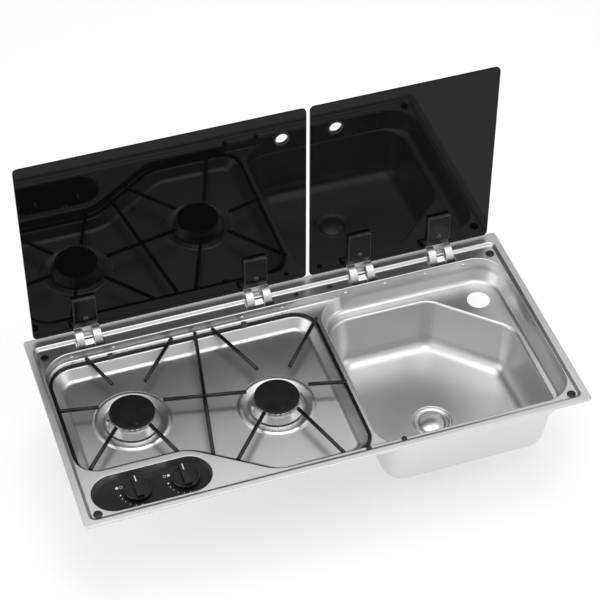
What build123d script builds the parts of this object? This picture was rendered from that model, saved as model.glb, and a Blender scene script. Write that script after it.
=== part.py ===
from build123d import *
from dataclasses import dataclass
from math import cos, radians, sin, tan
import os

# Built-in hob and sink for a camper worktop, with a two-part glass lid on gooseneck hinges.
# Millimetres. Origin: centre of the rim's top plane. +X right, +Y to the hinges, +Z up.
# The lids are modelled standing open.

os.makedirs("parts", exist_ok=True)

# --- Sheet steel deck: rim, sloped step and ledge ---
RIM_WIDTH = 900.0
RIM_DEPTH = 445.0
RIM_CORNER_RADIUS = 7.0
SHEET = 1.0
LIP_DROP = 4.0
RIM_FLAT = 12.5
RIM_FLAT_BACK = 22.5
LEDGE_DROP = 5.0
STEP_RUN = 5.0
STEP_CORNER_RADIUS = 12.0

# --- Upper basin, the wall shared by hob and sink ---
BASIN_SIDE_LAND = 1.0
BASIN_BACK_LAND = 22.0
BASIN_FRONT_LAND = 8.0
BASIN_CORNER_RADIUS = 54.0
BASIN_WALL = 19.0

# --- Divider between hob and sink, its left edge from the rim's centre ---
DIVIDER_LEFT = 66.0
DIVIDER_WIDTH = 12.0

# --- Pan support rail, from which the hob's hollow takes its outline ---
RAIL_SIDE_GAP = 5.5
RAIL_BACK_GAP = 16.0
RAIL_FRONT_GAP = 7.0
RAIL_DIVIDER_GAP = 1.0
RAIL_NOTCH_DEPTH = 93.0
RAIL_NOTCH_WIDTH = 186.0
RAIL_DIAGONAL_ANGLE = 34.9
RAIL_BACK_RADIUS = 45.0
RAIL_FRONT_RADIUS = 35.0
RAIL_BEND_RADIUS = 70.0
WIRE_RADIUS = 3.0
WELD_SINK = 0.6
SEAT_GAP = 0.3
FINGER_OVERHANG = 1.0
FINGER_BACK_OVERHANG = 5.0

# --- Hob hollow ---
HOB_CONTOUR_GAP = 9.0
HOB_SHELF_INSET = 3.0
HOB_SLOPE_RUN = 16.0
HOB_SLOPE_DROP = 18.0
HOB_SLOPE_ANGLE = 48.0

# --- Sink tub and bowl ---
TUB_DROP = 26.0
TUB_SIDE_RUN = 4.0
TUB_FRONT_RUN = 1.5
TUB_BACK_RUN = 13.5
TUB_RIGHT_RUN = 11.0
TUB_LAND = 0.5
BOWL_LEFT_LAND = 2.0
BOWL_FRONT_LAND = 2.5
BOWL_RIGHT_SHELF = 12.0
BOWL_BACK_SHELF = 21.0
BOWL_CORNER_CUT_X = 121.0
BOWL_CORNER_CUT_Y = 115.0
BOWL_CORNER_RADIUS = 48.0
BOWL_DEPTH = 100.0
BOWL_DRAFT = 13.0
BOWL_FLOOR_RADIUS = 28.0
BOWL_WELD_BELOW_SHELF = 6.0
TAP_HOLE_RADIUS = 21.0
TAP_HOLE_FROM_RIGHT = 44.0
TAP_HOLE_FROM_BACK = 48.0

# --- Waste fitting, its centre from the bowl's left and front edges ---
WASTE_FROM_BOWL_LEFT = 140.0
WASTE_FROM_BOWL_FRONT = 132.5
WASTE_FLANGE_RADIUS = 34.0
WASTE_FLANGE_BEAD = 5.0
WASTE_FLANGE_HEIGHT = 2.4
WASTE_FLANGE_EDGE = 1.2
WASTE_FLANGE_DISH = 1.6
WASTE_RECESS_DROP = 2.5
WASTE_RECESS_GAP = 2.0
WASTE_HOLE_RADIUS = 27.0
WASTE_THROAT_RADIUS = 24.5
WASTE_THROAT_BEND = 3.0
WASTE_WALL = 1.5
WASTE_THROAT_LENGTH = 24.0
WASTE_GASKET_HEIGHT = 2.0
WASTE_BODY_WALL = 3.5
WASTE_BODY_FLOOR = 4.0
WASTE_BODY_TAPER = 8.0
WASTE_OUTLET_RADIUS = 14.0
WASTE_OUTLET_WALL = 2.5
WASTE_OUTLET_LENGTH = 32.0
WASTE_COLLAR_RADIUS = 36.0
WASTE_COLLAR_HEIGHT = 8.0
WASTE_SPIDER_HEIGHT = 4.0
WASTE_SPIDER_RIB = 2.5
WASTE_SPIDER_HUB = 3.0
WASTE_SPIDER_LEDGE = 2.0
PLUG_RADIUS = 22.5
PLUG_CROWN = 4.0
PLUG_THICKNESS = 2.0
PLUG_BELOW_SEAT = 2.6
PLUG_STEM_RADIUS = 3.0
PLUG_STEM_OVERHANG = 4.0

# --- Control recess, its centre from the basin's left and front, panel and knobs ---
PANEL_FROM_LEFT = 111.5
PANEL_FROM_FRONT = 37.0
PANEL_LENGTH = 207.0
PANEL_WIDTH = 79.0
PANEL_RECESS_DROP = 17.0
PANEL_RECESS_RUN = 3.0
PANEL_THICKNESS = 2.0
PANEL_EDGE = 1.2
PANEL_SIDE_GAP = 0.3
KNOB_OFFSETS = (-24.0, 58.5)
KNOB_BEHIND_CENTRE = 3.0
KNOB_RADIUS = 24.0
KNOB_HEIGHT = 12.6
KNOB_SKIRT_HEIGHT = 5.0
KNOB_SKIRT_EDGE = 1.2
KNOB_DISH_WALL = 3.0
KNOB_DISH_DEPTH = 1.0
KNOB_GRIP_WIDTH = 11.5
KNOB_GRIP_INSET = 1.0
KNOB_GRIP_EDGE = 1.0
KNOB_TRAVEL = 3.0
KNOB_TRAVEL_GAP = 0.8
SPINDLE_RADIUS = 4.0
SPINDLE_IN_KNOB = 8.0
SPINDLE_GAP = 0.5
PLUNGER_RADIUS = 5.5
PLUNGER_LENGTH = 8.0
RUNNING_GAP = 0.05
VALVE_WIDTH = 24.0
VALVE_CORNER_RADIUS = 3.0
VALVE_HEIGHT = 34.0
VALVE_NECK_RADIUS = 9.0
VALVE_NECK_HEIGHT = 5.0
VALVE_HOLE_RADIUS = 7.0

# --- Burners, in x from the ends of the hob and in y from the middle of the hollow ---
BURNER_LEFT_INSET = 119.0
BURNER_RIGHT_INSET = 124.0
BURNER_LEFT_Y = -13.0
BURNER_RIGHT_Y = -11.5
CAP_RADIUS = 40.0
CAP_HEIGHT = 6.5
CAP_TOP_Z = -17.0
CAP_EDGE_RADIUS = 2.2
CAP_DIMPLE_OFFSET = 33.0
CAP_DIMPLE_RADIUS = 2.5
CAP_DIMPLE_DEPTH = 0.8
CROWN_RADIUS = 37.0
CROWN_FOOT_RADIUS = 34.0
CROWN_HEIGHT = 13.0
CROWN_WALL = 7.0
CROWN_BAND_HEIGHT = 8.0
CROWN_PORTS = 24
CROWN_PORT_WIDTH = 2.4
CROWN_PORT_HEIGHT = 6.0
BURNER_HOLE_RADIUS = 52.0
BURNER_CUP_RADIUS = 30.0
BURNER_CUP_DEPTH = 16.0
BURNER_CUP_WALL = 3.0
BURNER_FLANGE_RADIUS = 58.0
BURNER_FLANGE_THICKNESS = 2.0
TRIM_OUTER_RADIUS = 70.0
TRIM_BAND_OUTER_RADIUS = 66.0
TRIM_BAND_INNER_RADIUS = 62.0
TRIM_INNER_RADIUS = 49.5
TRIM_EDGE = 0.6
TRIM_HEIGHT = 3.0
TRIM_THICKNESS = 1.0
TRIM_INNER_DROP = 1.2
TRIM_LIP = 0.5
MIXER_RADIUS = 8.0
MIXER_LENGTH = 62.0
MIXER_BELOW_FLANGE = 9.0
THERMOCOUPLE_RADIUS = 2.2
THERMOCOUPLE_TIP_RADIUS = 1.5
THERMOCOUPLE_OFFSET = 43.5
THERMOCOUPLE_TOP_Z = -26.0
THERMOCOUPLE_LENGTH = 34.0

# Fingers of the pan support: burner, side of the rail, place along that side, inner end from the burner.
# Places along the back, front and notch are measured from the burner, those along the left and right
# from the back of the rail and those along the diagonal from the notch.
FINGERS = (
    (0, "back", -44.0, (-16.0, 70.0)),
    (0, "back", 113.0, (40.0, 59.0)),
    (0, "left", -102.0, (-52.0, 25.0)),
    (0, "corner", 7.0, (-36.0, -30.0)),
    (0, "notch", 49.0, (21.0, -41.0)),
    (1, "back", -60.0, (-13.0, 69.0)),
    (1, "right", -29.0, (42.0, 57.0)),
    (1, "right", -194.0, (60.0, 7.0)),
    (1, "diagonal", -51.0, (-33.0, -32.0)),
    (1, "front", 68.0, (25.0, -41.0)),
)
LONG_BAR_BACK = -92.0
LONG_BAR_DIAGONAL = -26.0
CROSS_BAR_LEFT = (58.0, 7.0)
CROSS_BAR_RIGHT = (-48.0, 24.0)

# --- Gas pipes ---
PIPE_RADIUS = 3.0
PIPE_BEND_RADIUS = 14.0
MANIFOLD_RADIUS = 5.0
MANIFOLD_LEFT_OVERHANG = 58.0
MANIFOLD_RIGHT_OVERHANG = 16.0
INLET_RADIUS = 4.0
INLET_LENGTH = 28.0

# --- Lids, standing on the rim's back edge and reaching the step in front when closed ---
GLASS = 4.5
GLASS_BEHIND = 8.0
GLASS_BOTTOM_Z = 5.5
GLASS_CORNER_RADIUS = 9.0
LID_FRONT_GAP = 0.5
LID_SIDE_GAP = 0.0
LID_RIGHT_SIDE_GAP = 0.5
LID_SPLIT_FROM_DIVIDER = 10.5
LID_SPLIT_GAP = 6.5
FINGER_HOLE_RADIUS = 12.5
FINGER_HOLE_BELOW_TOP = 55.0
FINGER_HOLE_FROM_SPLIT = (44.5, 46.0)
RING_FLANGE = 2.0
RING_FLANGE_THICKNESS = 1.0
RING_WALL = 1.6

# --- Hinges, two to each lid, from the lid's own sides ---
HINGE_INSETS = ((95.5, 97.5), (94.0, 100.0))
PIN_IN_FRONT = 8.0
PIN_Z = -10.0
PIN_RADIUS = 3.0
PIN_OVERHANG = 2.0
STRAP_RADIUS = 21.0
STRAP_THICKNESS = 3.0
STRAP_WIDTH = 14.0
STRAP_SPACING = 32.0
STRAP_TOP_ANGLE = 74.0
STRAP_LEG_ANGLE = 190.0
STRAP_EYE_RADIUS = 4.6
CHANNEL_WIDTH = 46.0
CHANNEL_WALL = 2.2
CHANNEL_BASE = 2.5
CHANNEL_EDGE_RADIUS = 1.0
CHANNEL_TOP_Z = 12.0
SLOT_WIDTH = 52.0
SLOT_DEPTH = 22.0
SLOT_FROM_PIN = 8.5
SLOT_CORNER = 3.0
CLAMP_WIDTH = 42.0
CLAMP_TOP_Z = 84.0
CLAMP_THICKNESS = 7.5
CLAMP_TOE_THICKNESS = 2.4
CLAMP_TOE_TOP_Z = 26.0
CLAMP_TOE_GAP = 0.5
CLAMP_BACK_THICKNESS = 1.5
CLAMP_BACK_CORNER = 3.0
CLAMP_EDGE_RADIUS = 2.0
CLAMP_SCREW_Z = 38.0
CLAMP_SCREW_RADIUS = 2.5
CLAMP_SCREW_HEAD_RADIUS = 4.5
CLAMP_SCREW_HEAD = 1.2
CLAMP_NUT_RADIUS = 4.5
CLAMP_NUT_HEIGHT = 1.8

# --- Hinge brackets, on the basin's back wall and round the pin ---
BRACKET_SHEET = 1.5
BRACKET_WIDTH = 90.0
BRACKET_EAR_GAP = 2.0
BRACKET_EAR_THICKNESS = 2.0
BRACKET_FOOT_Z = -36.0
BRACKET_TOP_Z = -9.0
BRACKET_BEHIND_PIN = 5.5
BRACKET_EAR_TOP_Z = -4.2
BRACKET_SHOULDER = 4.0
BRACKET_SCREW_OFFSET = 38.0
BRACKET_SCREW_Z = -17.0
BRACKET_SCREW_RADIUS = 2.0
BRACKET_SCREW_HEAD_RADIUS = 3.6
BRACKET_SCREW_HEAD = 2.0
BRACKET_SCREW_EDGE_SHARE = 0.6
BRACKET_SCREW_LENGTH = 7.0
BRACKET_NUT_RADIUS = 4.0
BRACKET_NUT_HEIGHT = 3.0

# --- Rubber bumpers, clips and seal ---
CORNER_BUMPER_RADIUS = 8.0
CORNER_BUMPER_INSET = 9.5
CORNER_BUMPER_BACK = 2.0
CORNER_BUMPER_FRONT = 0.3
MIDDLE_BUMPER_RADIUS = 4.0
MIDDLE_BUMPERS_FROM_SPLIT = (28.5, 29.0)
MIDDLE_BUMPER_BACK = 12.0
MIDDLE_BUMPER_FRONT = 4.0
BUMPER_LID_GAP = 0.3
BUMPER_EDGE_SHARE = 0.9
CLIP_FROM_BURNER = -1.0
CLIP_WIDTH = 9.0
CLIP_OFFSET = 0.8
CLIP_ROOF = 2.0
SEAL_WIDTH = 8.0
SEAL_SIDE_GAP = 0.3
SEAL_INNER_RADIUS = 1.0
SEAL_PROUD = 0.5

# --- Levels worked out from the sizes above ---
LEDGE_Z = -LEDGE_DROP
SHELF_Z = LEDGE_Z - BASIN_WALL
HOB_FLOOR_Z = SHELF_Z - HOB_SLOPE_DROP
TUB_Z = SHELF_Z - TUB_DROP
BOWL_FLOOR_Z = TUB_Z - BOWL_DEPTH
WELD_Z = TUB_Z - BOWL_WELD_BELOW_SHELF
RAIL_Z = SHELF_Z + SEAT_GAP + WIRE_RADIUS
BAR_Z = RAIL_Z + 2 * WIRE_RADIUS - WELD_SINK
PANEL_FLOOR_Z = LEDGE_Z - PANEL_RECESS_DROP
PANEL_TOP_Z = PANEL_FLOOR_Z + PANEL_THICKNESS
KNOB_BOTTOM_Z = PANEL_TOP_Z + KNOB_TRAVEL + KNOB_TRAVEL_GAP
VALVE_TOP_Z = PANEL_FLOOR_Z - SHEET - VALVE_NECK_HEIGHT
VALVE_BOTTOM_Z = VALVE_TOP_Z - VALVE_HEIGHT
MANIFOLD_Z = VALVE_BOTTOM_Z - MANIFOLD_RADIUS
WASTE_SEAT_Z = BOWL_FLOOR_Z - WASTE_RECESS_DROP
SPIDER_Z = -WASTE_THROAT_LENGTH - WASTE_SPIDER_HEIGHT / 2
CROWN_TOP_Z = CAP_TOP_Z - CAP_HEIGHT
CROWN_BOTTOM_Z = CROWN_TOP_Z - CROWN_HEIGHT
BURNER_FLANGE_Z = HOB_FLOOR_Z - SHEET

# --- Edges and centres in plan, from the rim inwards ---
STEP_X = RIM_WIDTH / 2 - RIM_FLAT
STEP_FRONT_Y = -RIM_DEPTH / 2 + RIM_FLAT
STEP_BACK_Y = RIM_DEPTH / 2 - RIM_FLAT_BACK
BASIN_X = STEP_X - STEP_RUN - BASIN_SIDE_LAND
BASIN_BACK_Y = STEP_BACK_Y - STEP_RUN - BASIN_BACK_LAND
BASIN_FRONT_Y = STEP_FRONT_Y + STEP_RUN + BASIN_FRONT_LAND
RAIL_LEFT = -BASIN_X + RAIL_SIDE_GAP
RAIL_RIGHT = DIVIDER_LEFT - RAIL_DIVIDER_GAP
RAIL_BACK = BASIN_BACK_Y - RAIL_BACK_GAP
RAIL_FRONT = BASIN_FRONT_Y + RAIL_FRONT_GAP
RAIL_NOTCH_X = RAIL_LEFT + RAIL_NOTCH_WIDTH
RAIL_NOTCH_Y = RAIL_FRONT + RAIL_NOTCH_DEPTH
BURNER_CENTRES = (
    (RAIL_LEFT + BURNER_LEFT_INSET, (RAIL_BACK + RAIL_NOTCH_Y) / 2 + BURNER_LEFT_Y),
    (RAIL_RIGHT - BURNER_RIGHT_INSET, (RAIL_BACK + RAIL_FRONT) / 2 + BURNER_RIGHT_Y),
)
TUB_LEFT = DIVIDER_LEFT + DIVIDER_WIDTH + TUB_SIDE_RUN
TUB_RIGHT = BASIN_X - TUB_LAND - TUB_RIGHT_RUN
TUB_FRONT = BASIN_FRONT_Y + TUB_LAND + TUB_FRONT_RUN
TUB_BACK = BASIN_BACK_Y - TUB_LAND - TUB_BACK_RUN
BOWL_LEFT = TUB_LEFT + BOWL_LEFT_LAND
BOWL_RIGHT = TUB_RIGHT - BOWL_RIGHT_SHELF
BOWL_FRONT = TUB_FRONT + BOWL_FRONT_LAND
BOWL_BACK = TUB_BACK - BOWL_BACK_SHELF
TAP_HOLE_X = TUB_RIGHT - TAP_HOLE_FROM_RIGHT
TAP_HOLE_Y = TUB_BACK - TAP_HOLE_FROM_BACK
WASTE_X = BOWL_LEFT + WASTE_FROM_BOWL_LEFT
WASTE_Y = BOWL_FRONT + WASTE_FROM_BOWL_FRONT
PANEL_X = -BASIN_X + PANEL_FROM_LEFT
PANEL_Y = BASIN_FRONT_Y + PANEL_FROM_FRONT
KNOB_XS = tuple(PANEL_X + offset_x for offset_x in KNOB_OFFSETS)
KNOB_Y = PANEL_Y + KNOB_BEHIND_CENTRE
GLASS_FRONT_Y = RIM_DEPTH / 2 - GLASS_BEHIND
GLASS_BACK_Y = GLASS_FRONT_Y + GLASS
PIN_Y = GLASS_FRONT_Y - PIN_IN_FRONT
SLOT_BACK_Y = PIN_Y - SLOT_FROM_PIN
SLOT_FRONT_Y = SLOT_BACK_Y - SLOT_DEPTH
BRACKET_BACK_Y = PIN_Y + BRACKET_BEHIND_PIN
CLOSED_GLASS_Z = PIN_Z + GLASS_FRONT_Y - PIN_Y
BUMPER_HEIGHT = CLOSED_GLASS_Z - BUMPER_LID_GAP - LEDGE_Z
GLASS_TOP_Z = PIN_Z + PIN_Y - (STEP_FRONT_Y + STEP_RUN + LID_FRONT_GAP)
FINGER_HOLE_Z = GLASS_TOP_Z - FINGER_HOLE_BELOW_TOP
LID_SPLIT_LEFT = DIVIDER_LEFT + LID_SPLIT_FROM_DIVIDER
LID_SPLIT_RIGHT = LID_SPLIT_LEFT + LID_SPLIT_GAP
LEFT_LID_X = (-BASIN_X + LID_SIDE_GAP, LID_SPLIT_LEFT)
RIGHT_LID_X = (LID_SPLIT_RIGHT, BASIN_X - LID_RIGHT_SIDE_GAP)
FINGER_HOLE_XS = (LID_SPLIT_LEFT - FINGER_HOLE_FROM_SPLIT[0], LID_SPLIT_RIGHT + FINGER_HOLE_FROM_SPLIT[1])
LEFT_HINGE_XS = (LEFT_LID_X[0] + HINGE_INSETS[0][0], LEFT_LID_X[1] - HINGE_INSETS[0][1])
RIGHT_HINGE_XS = (RIGHT_LID_X[0] + HINGE_INSETS[1][0], RIGHT_LID_X[1] - HINGE_INSETS[1][1])
HINGE_XS = LEFT_HINGE_XS + RIGHT_HINGE_XS


def save(node, *solids):
    """Write one named sub-part."""
    export_step(Compound(children=list(solids)) if len(solids) > 1 else solids[0], f"parts/{node}.step")


def rounded_polygon(corners):
    """Face with straight sides and one radius at each corner, from (x, y, radius) points."""
    face = make_face(Polyline(*[(x, y) for x, y, _ in corners], close=True))
    for x, y, radius in corners:
        corner = face.vertices().sort_by_distance((x, y, 0))[0]
        face = fillet(corner, radius)
    return face


def rounded_rectangle(left, right, front, back, radius):
    """Face with four sides and one corner radius."""
    return Pos((left + right) / 2, (front + back) / 2) * RectangleRounded(right - left, back - front, radius)


def hexagon_nut(across_corners_radius, hole_radius, height):
    """Nut with its seat at z = 0."""
    return extrude(RegularPolygon(across_corners_radius, 6) - Circle(hole_radius), height)


def along_y(shape, x, y, z):
    """Stand a shape that was built along +Z on the point, turned to run along +Y."""
    return Pos(x, y, z) * Rot(-90, 0, 0) * shape


@dataclass
class Recess:
    """A pressed hollow: its upper and lower outlines, their levels and the sheet around it."""

    upper: Sketch
    lower: Sketch
    top_z: float
    bottom_z: float
    wall_angle: float = 90.0

    def hollow(self):
        """The air inside, carried a little above the top so that it opens cleanly."""
        walls = loft([Pos(0, 0, self.bottom_z) * self.lower, Pos(0, 0, self.top_z) * self.upper], ruled=True)
        mouth = extrude(Pos(0, 0, self.top_z) * self.upper, SHEET)
        return walls + mouth

    def skin(self):
        """The same form, larger by the sheet."""
        grow = SHEET * tan(radians(self.wall_angle / 2))
        lower = Pos(0, 0, self.bottom_z - SHEET) * offset(self.lower, amount=grow)
        upper = Pos(0, 0, self.top_z - SHEET) * offset(self.upper, amount=grow)
        return loft([lower, upper], ruled=True)


def diagonal_x(y, clearance):
    """Place on the rail's diagonal, or on its parallel further out, at the depth y."""
    angle = radians(RAIL_DIAGONAL_ANGLE)
    return RAIL_NOTCH_X + (RAIL_NOTCH_Y - y) / tan(angle) - clearance / sin(angle)


def rail_outline():
    """Centre line of the pan support's rail, as a face."""
    return rounded_polygon([
        (RAIL_LEFT, RAIL_BACK, RAIL_BACK_RADIUS),
        (RAIL_LEFT, RAIL_NOTCH_Y, RAIL_FRONT_RADIUS),
        (RAIL_NOTCH_X, RAIL_NOTCH_Y, RAIL_BEND_RADIUS),
        (diagonal_x(RAIL_FRONT, 0), RAIL_FRONT, RAIL_BEND_RADIUS),
        (RAIL_RIGHT, RAIL_FRONT, RAIL_FRONT_RADIUS),
        (RAIL_RIGHT, RAIL_BACK, RAIL_BACK_RADIUS),
    ])


def basin_recess():
    """Upright wall round hob and sink, with the notch that leaves room for the controls."""
    notch_y = RAIL_NOTCH_Y - HOB_CONTOUR_GAP
    outline = rounded_polygon([
        (-BASIN_X, BASIN_BACK_Y, BASIN_CORNER_RADIUS),
        (-BASIN_X, notch_y, RAIL_FRONT_RADIUS + HOB_CONTOUR_GAP),
        (diagonal_x(notch_y, HOB_CONTOUR_GAP), notch_y, RAIL_BEND_RADIUS),
        (diagonal_x(BASIN_FRONT_Y, HOB_CONTOUR_GAP), BASIN_FRONT_Y, RAIL_BEND_RADIUS),
        (BASIN_X, BASIN_FRONT_Y, BASIN_CORNER_RADIUS),
        (BASIN_X, BASIN_BACK_Y, BASIN_CORNER_RADIUS),
    ])
    return Recess(outline, outline, LEDGE_Z, SHELF_Z)


def hob_recess():
    """Sloped hollow under the pan support."""
    upper = offset(rail_outline(), amount=-HOB_SHELF_INSET)
    lower = offset(rail_outline(), amount=-HOB_SHELF_INSET - HOB_SLOPE_RUN)
    return Recess(upper, lower, SHELF_Z, HOB_FLOOR_Z, wall_angle=HOB_SLOPE_ANGLE)


def tub_recess():
    """Upper part of the sink, down to the tap shelf."""
    upper = rounded_rectangle(TUB_LEFT - TUB_SIDE_RUN, TUB_RIGHT + TUB_RIGHT_RUN, TUB_FRONT - TUB_FRONT_RUN,
                              TUB_BACK + TUB_BACK_RUN, BASIN_CORNER_RADIUS - TUB_LAND)
    lower = rounded_rectangle(TUB_LEFT, TUB_RIGHT, TUB_FRONT, TUB_BACK, BASIN_CORNER_RADIUS - TUB_SIDE_RUN)
    return Recess(upper, lower, SHELF_Z, TUB_Z)


def bowl_outline():
    """Bowl at the tap shelf, with one corner cut for the tap."""
    return rounded_polygon([
        (BOWL_LEFT, BOWL_BACK, BOWL_CORNER_RADIUS),
        (BOWL_LEFT, BOWL_FRONT, BOWL_CORNER_RADIUS),
        (BOWL_RIGHT, BOWL_FRONT, BOWL_CORNER_RADIUS),
        (BOWL_RIGHT, BOWL_BACK - BOWL_CORNER_CUT_Y, BOWL_CORNER_RADIUS),
        (BOWL_RIGHT - BOWL_CORNER_CUT_X, BOWL_BACK, BOWL_CORNER_RADIUS),
    ])


def bowl_solid(grow, lower_by):
    """Filled bowl, larger by grow and deeper by lower_by, with its floor radius."""
    upper = Pos(0, 0, TUB_Z - lower_by) * offset(bowl_outline(), amount=grow)
    lower = Pos(0, 0, BOWL_FLOOR_Z - lower_by) * offset(bowl_outline(), amount=grow - BOWL_DRAFT)
    solid = loft([lower, upper], ruled=True)
    floor_edges = solid.edges().group_by(Axis.Z)[0]
    return fillet(floor_edges, BOWL_FLOOR_RADIUS + grow)


def control_outline(inset):
    """Stadium of the control recess, smaller by inset."""
    width = PANEL_WIDTH - 2 * inset
    return Pos(PANEL_X, PANEL_Y) * SlotOverall(PANEL_LENGTH - 2 * inset, width)


def steel_shell():
    """Whole pressed shell, still in one with the bowl."""
    step_upper = rounded_rectangle(-STEP_X, STEP_X, STEP_FRONT_Y, STEP_BACK_Y, STEP_CORNER_RADIUS)
    step_lower = offset(step_upper, amount=-STEP_RUN)
    ledge = Recess(step_upper, step_lower, 0.0, LEDGE_Z, wall_angle=45.0)
    control = Recess(control_outline(0), control_outline(PANEL_RECESS_RUN), LEDGE_Z, PANEL_FLOOR_Z)
    recesses = [ledge, basin_recess(), hob_recess(), tub_recess(), control]

    rim = RectangleRounded(RIM_WIDTH, RIM_DEPTH, RIM_CORNER_RADIUS)
    lip = rim - offset(rim, amount=-SHEET)
    metal = extrude(rim, -SHEET) + extrude(lip, -LIP_DROP)
    waste = Pos(WASTE_X, WASTE_Y)
    recess_radius = WASTE_FLANGE_RADIUS + WASTE_RECESS_GAP
    for recess in recesses:
        metal += recess.skin()
    metal += bowl_solid(SHEET, SHEET)
    seat = waste * Pos(0, 0, WASTE_SEAT_Z)
    metal += seat * Pos(0, 0, -SHEET) * extrude(Circle(recess_radius + SHEET), WASTE_RECESS_DROP)
    for recess in recesses:
        metal -= recess.hollow()
    metal -= bowl_solid(0, 0)
    metal -= Pos(0, 0, TUB_Z - 2 * SHEET) * extrude(bowl_outline(), 3 * SHEET)
    metal -= seat * extrude(Circle(recess_radius), WASTE_RECESS_DROP + SHEET)
    metal -= seat * Pos(0, 0, -2 * SHEET) * extrude(Circle(WASTE_HOLE_RADIUS), 3 * SHEET)
    return metal


def slot_cutters():
    """Openings in the ledge through which the lid arms pass."""
    slot = Rectangle(SLOT_WIDTH, SLOT_BACK_Y - SLOT_FRONT_Y)
    slot = chamfer(slot.vertices(), SLOT_CORNER)
    place = Pos(0, (SLOT_BACK_Y + SLOT_FRONT_Y) / 2, LEDGE_Z - 2 * SHEET)
    cutter = place * extrude(slot, LEDGE_DROP + 3 * SHEET)
    return [Pos(x, 0, 0) * cutter for x in HINGE_XS]


def screw_places():
    """Centres of the hinge bracket screws in the basin's back wall."""
    return [(x + side * BRACKET_SCREW_OFFSET, BRACKET_SCREW_Z) for x in HINGE_XS for side in (-1, 1)]


def make_deck_and_bowl():
    """Deck pressing and sink bowl, two sheets butt-welded below the tap shelf."""
    shell = steel_shell()
    for cutter in slot_cutters():
        shell -= cutter
    for x, z in screw_places():
        shell -= along_y(Cylinder(BRACKET_SCREW_RADIUS, 4 * SHEET), x, BASIN_BACK_Y, z)
    for x, y in BURNER_CENTRES:
        shell -= Pos(x, y, HOB_FLOOR_Z) * Cylinder(BURNER_HOLE_RADIUS, 4 * SHEET)
    for x in KNOB_XS:
        shell -= Pos(x, KNOB_Y, PANEL_FLOOR_Z) * Cylinder(VALVE_HOLE_RADIUS, 4 * SHEET)
    shell -= Pos(TAP_HOLE_X, TAP_HOLE_Y, TUB_Z) * Cylinder(TAP_HOLE_RADIUS, 4 * SHEET)
    upper_space = Pos(0, 0, WELD_Z) * Box(2 * RIM_WIDTH, 2 * RIM_DEPTH, -2 * WELD_Z,
                                          align=(Align.CENTER, Align.CENTER, Align.MIN))
    save("deck_pressing", (shell & upper_space).solids()[0])
    save("sink_bowl", (shell - upper_space).solids()[0])


def make_rim_seal():
    """Foam strip under the rim, inside the turned-down lip."""
    inset = SHEET + SEAL_SIDE_GAP
    outer = offset(RectangleRounded(RIM_WIDTH, RIM_DEPTH, RIM_CORNER_RADIUS), amount=-inset)
    inner = RectangleRounded(RIM_WIDTH - 2 * (inset + SEAL_WIDTH), RIM_DEPTH - 2 * (inset + SEAL_WIDTH),
                             SEAL_INNER_RADIUS)
    save("rim_seal", Pos(0, 0, -SHEET) * extrude(outer - inner, -(LIP_DROP - SHEET + SEAL_PROUD)))


def dome(radius, height):
    """Low rubber dome with its foot at z = 0."""
    button = Cylinder(radius, height, align=(Align.CENTER, Align.CENTER, Align.MIN))
    return fillet(button.edges().group_by(Axis.Z)[-1], BUMPER_EDGE_SHARE * height)


def make_bumpers():
    """Rubber domes on the ledge that carry the closed lids."""
    corner = dome(CORNER_BUMPER_RADIUS, BUMPER_HEIGHT)
    corner_x = BASIN_X - CORNER_BUMPER_INSET
    corner_ys = (BASIN_FRONT_Y + CORNER_BUMPER_FRONT, BASIN_BACK_Y + CORNER_BUMPER_BACK)
    corner_places = [(x, y) for x in (-corner_x, corner_x) for y in corner_ys]
    save("corner_bumpers", *[Pos(x, y, LEDGE_Z) * corner for x, y in corner_places])

    middle = dome(MIDDLE_BUMPER_RADIUS, BUMPER_HEIGHT)
    from_left, from_right = MIDDLE_BUMPERS_FROM_SPLIT
    middle_xs = (LID_SPLIT_LEFT - from_left, LID_SPLIT_RIGHT + from_right)
    middle_ys = (BASIN_FRONT_Y - MIDDLE_BUMPER_FRONT, BASIN_BACK_Y + MIDDLE_BUMPER_BACK)
    middle_places = [(x, y) for x in middle_xs for y in middle_ys]
    save("middle_bumpers", *[Pos(x, y, LEDGE_Z) * middle for x, y in middle_places])


def finger_start(side, place, burner_x):
    """Outer end of a finger, just past the rail on the side named."""
    if side == "back":
        return burner_x + place, RAIL_BACK + FINGER_BACK_OVERHANG
    if side == "front":
        return burner_x + place, RAIL_FRONT - FINGER_OVERHANG
    if side == "notch":
        return burner_x + place, RAIL_NOTCH_Y - FINGER_OVERHANG
    if side == "left":
        return RAIL_LEFT - FINGER_OVERHANG, RAIL_BACK + place
    if side == "right":
        return RAIL_RIGHT + FINGER_OVERHANG, RAIL_BACK + place
    if side == "diagonal":
        return diagonal_x(RAIL_NOTCH_Y + place, 0), RAIL_NOTCH_Y + place
    return RAIL_LEFT + RAIL_FRONT_RADIUS / 2, RAIL_NOTCH_Y + place


def support_bars():
    """Ends of all fingers and bars of the pan support, in plan."""
    bars = []
    for burner, side, place, (inner_x, inner_y) in FINGERS:
        burner_x, burner_y = BURNER_CENTRES[burner]
        bars.append((finger_start(side, place, burner_x), (burner_x + inner_x, burner_y + inner_y)))
    (first_x, first_y), (second_x, second_y) = BURNER_CENTRES
    long_front_y = RAIL_NOTCH_Y + LONG_BAR_DIAGONAL
    bars.append(((second_x + LONG_BAR_BACK, RAIL_BACK + FINGER_BACK_OVERHANG),
                 (diagonal_x(long_front_y, 0), long_front_y)))
    bars.append(((first_x + CROSS_BAR_LEFT[0], first_y + CROSS_BAR_LEFT[1]),
                 (second_x + CROSS_BAR_RIGHT[0], second_y + CROSS_BAR_RIGHT[1])))
    return bars


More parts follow.
